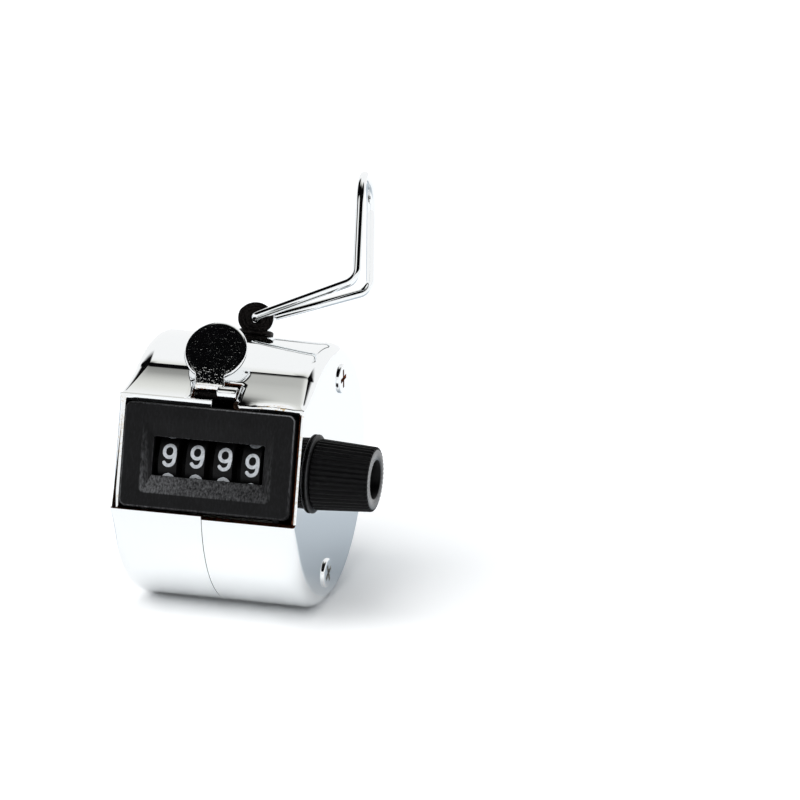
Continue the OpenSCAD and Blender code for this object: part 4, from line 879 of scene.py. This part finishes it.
def makeScrews():
    s = caseScrew
    head, tall, shank = s["head"], s["tall"], s["shank"]
    levels = [(head * r, drop) for r, drop in s["headForm"]] + [(head, tall), (shank, tall), (shank, s["long"])]
    bm = bmesh.new()
    for side, turned in zip((1, -1), s["turns"]):
        known = set(bm.verts)
        # top of the head between its rim and the cross
        rim = bmesh.ops.create_circle(bm, segments=s["points"], radius=head * s["top"])["verts"]
        a, w = s["arm"], s["armWide"]
        cross = [(w, w), (a, w), (a, -w), (w, -w), (w, -a), (-w, -a), (-w, -w), (-a, -w), (-a, w), (-w, w), (-w, a),
                 (w, a)]
        plus = [bm.verts.new((x, y, 0)) for x, y in cross]
        inside = [bm.edges.new(pair) for pair in zip(plus, plus[1:] + plus[:1])]
        edges = edgesOf(rim)
        bmesh.ops.triangle_fill(bm, edges=inside + edges, use_beauty=True)
        for f in [f for f in bm.faces if all(v in plus for v in f.verts)]:
            bm.faces.remove(f)
        for r, drop in levels:
            edges, verts = drawOut(bm, edges)
            for v in verts:
                flat = v.co.xy.normalized() * r
                v.co = (flat.x, flat.y, -drop)
        bmesh.ops.contextual_create(bm, geom=edges)
        edges, deep = drawOut(bm, inside)
        for v in deep:
            v.co = (v.co.x * s["taper"], v.co.y * s["taper"], -s["deep"])
        bmesh.ops.contextual_create(bm, geom=edges)
        # the driver has rubbed the recess bare, and the upper is rusty
        for f in {f for v in deep for f in v.link_faces}:
            f.material_index = 1 if side > 0 else 2
        place = (Matrix.Translation((s["side"] + tall, s["y"], side * s["up"]))
                 @ Matrix.Rotation(math.radians(turned), 4, "X") @ alongX)
        bmesh.ops.transform(bm, matrix=place, verts=[v for v in bm.verts if v not in known])
    bmesh.ops.recalc_face_normals(bm, faces=bm.faces[:])
    finishPiece("caseScrews", bm, "case", [chromePlate, rawCutEdge, bareSteel], ["case_screws"], sharp=40)


makeScrews()
print("screws made")

# Pieces held inside keep their solids and take their metal
heldInside = {
    bareSteel: ["tie_rods", "reset_shaft", "knob_washer", "wheel_washers", "lever_pin", "pawl_pin", "detent_bar",
                "detent_screws", "lever_spring", "pawl_spring"],
    blackenedSteel: ["side_plate_left", "side_plate_right", "shaft_bushes", "drive_pawl", "shaft_clip", "knob_screw",
                     "detent_comb"],
    turnedBrass: ["units_click", "tens_click", "hundreds_click", "thousands_click"],
}
for finish, names in heldInside.items():
    for name in names:
        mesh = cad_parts[name].data
        mesh.materials.clear()
        mesh.materials.append(finish)
print("inside pieces finished")

# Studio: pale floor, white surround, and for the chrome an overhead soft box between dark flags
studio = {"floor": 1.5, "floorTone": "#E6E8EA", "floorSeen": 1.24, "floorMirrored": 1.15, "floorShade": "#CFD7DE",
          "shadeFront": (-0.005, 0.015), "shadeBack": (0.085, 0.055), "shadeSkew": 0.5, "fillSpan": (0.05, 0.75),
          "fill": (0.05, 0.5), "fillTone": "#E8EDF1", "boxTone": "#EBEBE6", "boxFront": (0.44, 0.3),
          "boxHigh": (0.6, 0.8), "darkTone": "#060607", "frontBox": (-0.31, -0.67, 0.67),
          "frontBoxEdge": (0.975, 0.945), "sideFlag": ((0.36, 0.42), (0.62, 0.46), (0.33, 0.4)),
          "cameraFlag": ((0.34, -0.02), (0.385, 0.425))}


def makeFloor():
    bm = bmesh.new()
    bmesh.ops.create_grid(bm, x_segments=4, y_segments=4, size=studio["floor"])
    floor = addObject("paperFloor", toMesh("paperFloor", bm))
    material, tree, place = newMaterial("paperSweep")
    ray = addNode(tree, "ShaderNodeLightPath").outputs
    seen = addMath(tree, "ADD", ray["Is Camera Ray"], ray["Is Glossy Ray"])
    seen = addMath(tree, "ADD", seen, ray["Is Transmission Ray"], use_clamp=True)
    # seen directly or in the chrome the paper is white, and lights the object as the pale paper that it is; the chrome
    # also sees that the paper falls into shade behind the object
    x, y = addNode(tree, "ShaderNodeSeparateXYZ", {0: place}).outputs[:2]
    skewed = addMath(tree, "MULTIPLY_ADD", x, studio["shadeSkew"], y)
    shade = addLimits(tree, (y, studio["shadeFront"]), (skewed, studio["shadeBack"]))
    mirrorTone = addMix(tree, shade, [studio["floorMirrored"]] * 3 + [1], tone(studio["floorShade"]))
    seenTone = addMix(tree, ray["Is Glossy Ray"], [studio["floorSeen"]] * 3 + [1], mirrorTone)
    paper = addNode(tree, "ShaderNodeBsdfDiffuse", {"Color": tone(studio["floorTone"])}).outputs[0]
    white = addNode(tree, "ShaderNodeBsdfDiffuse", {"Color": seenTone}).outputs[0]
    shader = addNode(tree, "ShaderNodeMixShader", {0: seen, 1: paper, 2: white})
    addNode(tree, "ShaderNodeOutputMaterial", {"Surface": shader.outputs[0]})
    floor.data.materials.append(material)


makeFloor()


def makeWorld():
    world = bpy.data.worlds.new("studio")
    bpy.context.scene.world = world
    tree = emptyTree(world)
    way = addNode(tree, "ShaderNodeTexCoord").outputs["Generated"]
    x, y, z = addNode(tree, "ShaderNodeSeparateXYZ", {0: way}).outputs
    sideways = addMath(tree, "ABSOLUTE", x)
    # dark flags beside the overhead box and over the camera, and a second soft box at the front, over the window
    beside = addLimits(tree, *zip((sideways, y, z), studio["sideFlag"]))
    over = addLimits(tree, *zip((y, z), studio["cameraFlag"]))
    toBox = addNode(tree, "ShaderNodeVectorMath", {"operation": "DOT_PRODUCT", 0: way, 1: studio["frontBox"]})
    clearing = addLimits(tree, (toBox.outputs["Value"], studio["frontBoxEdge"]))
    dark = addMath(tree, "MULTIPLY", addMath(tree, "MAXIMUM", beside, over), clearing)
    # the box overhead is a little greyer than the backdrop
    boxed = addLimits(tree, (y, studio["boxFront"]), (z, studio["boxHigh"]))
    room = addMix(tree, dark, addMix(tree, boxed, (1, 1, 1, 1), tone(studio["boxTone"])), tone(studio["darkTone"]))
    ray = addNode(tree, "ShaderNodeLightPath").outputs
    mirrored = addMath(tree, "ADD", ray["Is Glossy Ray"], ray["Is Transmission Ray"], use_clamp=True)
    level = addRange(tree, z, studio["fillSpan"], studio["fill"])
    reflected, behind, fill = (addNode(tree, "ShaderNodeBackground", {"Color": colour, "Strength": power}).outputs[0]
                               for colour, power in ((room, 1), ((1, 1, 1, 1), 1), (tone(studio["fillTone"]), level)))
    first = addNode(tree, "ShaderNodeMixShader", {0: mirrored, 1: fill, 2: reflected})
    last = addNode(tree, "ShaderNodeMixShader", {0: ray["Is Camera Ray"], 1: first.outputs[0], 2: behind})
    addNode(tree, "ShaderNodeOutputWorld", {"Surface": last.outputs[0]})


makeWorld()

lamps = {
    "overheadBox": {"from": (0.12, 0.0, 1.0), "spread": 60, "power": 0.4},
    "frontBox": {"from": (-0.42, -0.9, 1.4), "spread": 54, "power": 1.8},
}
for name, lamp in lamps.items():
    light = bpy.data.lights.new(name, "SUN")
    light.energy = lamp["power"]
    light.angle = math.radians(lamp["spread"])
    holder = addObject(name, light)
    aim = Vector(lamp["from"])
    holder.matrix_world = Matrix.Translation(aim) @ aim.to_track_quat("Z", "Y").to_matrix().to_4x4()
    holder.visible_glossy = False
bpy.context.scene.view_settings.view_transform = "Standard"
print("studio made")
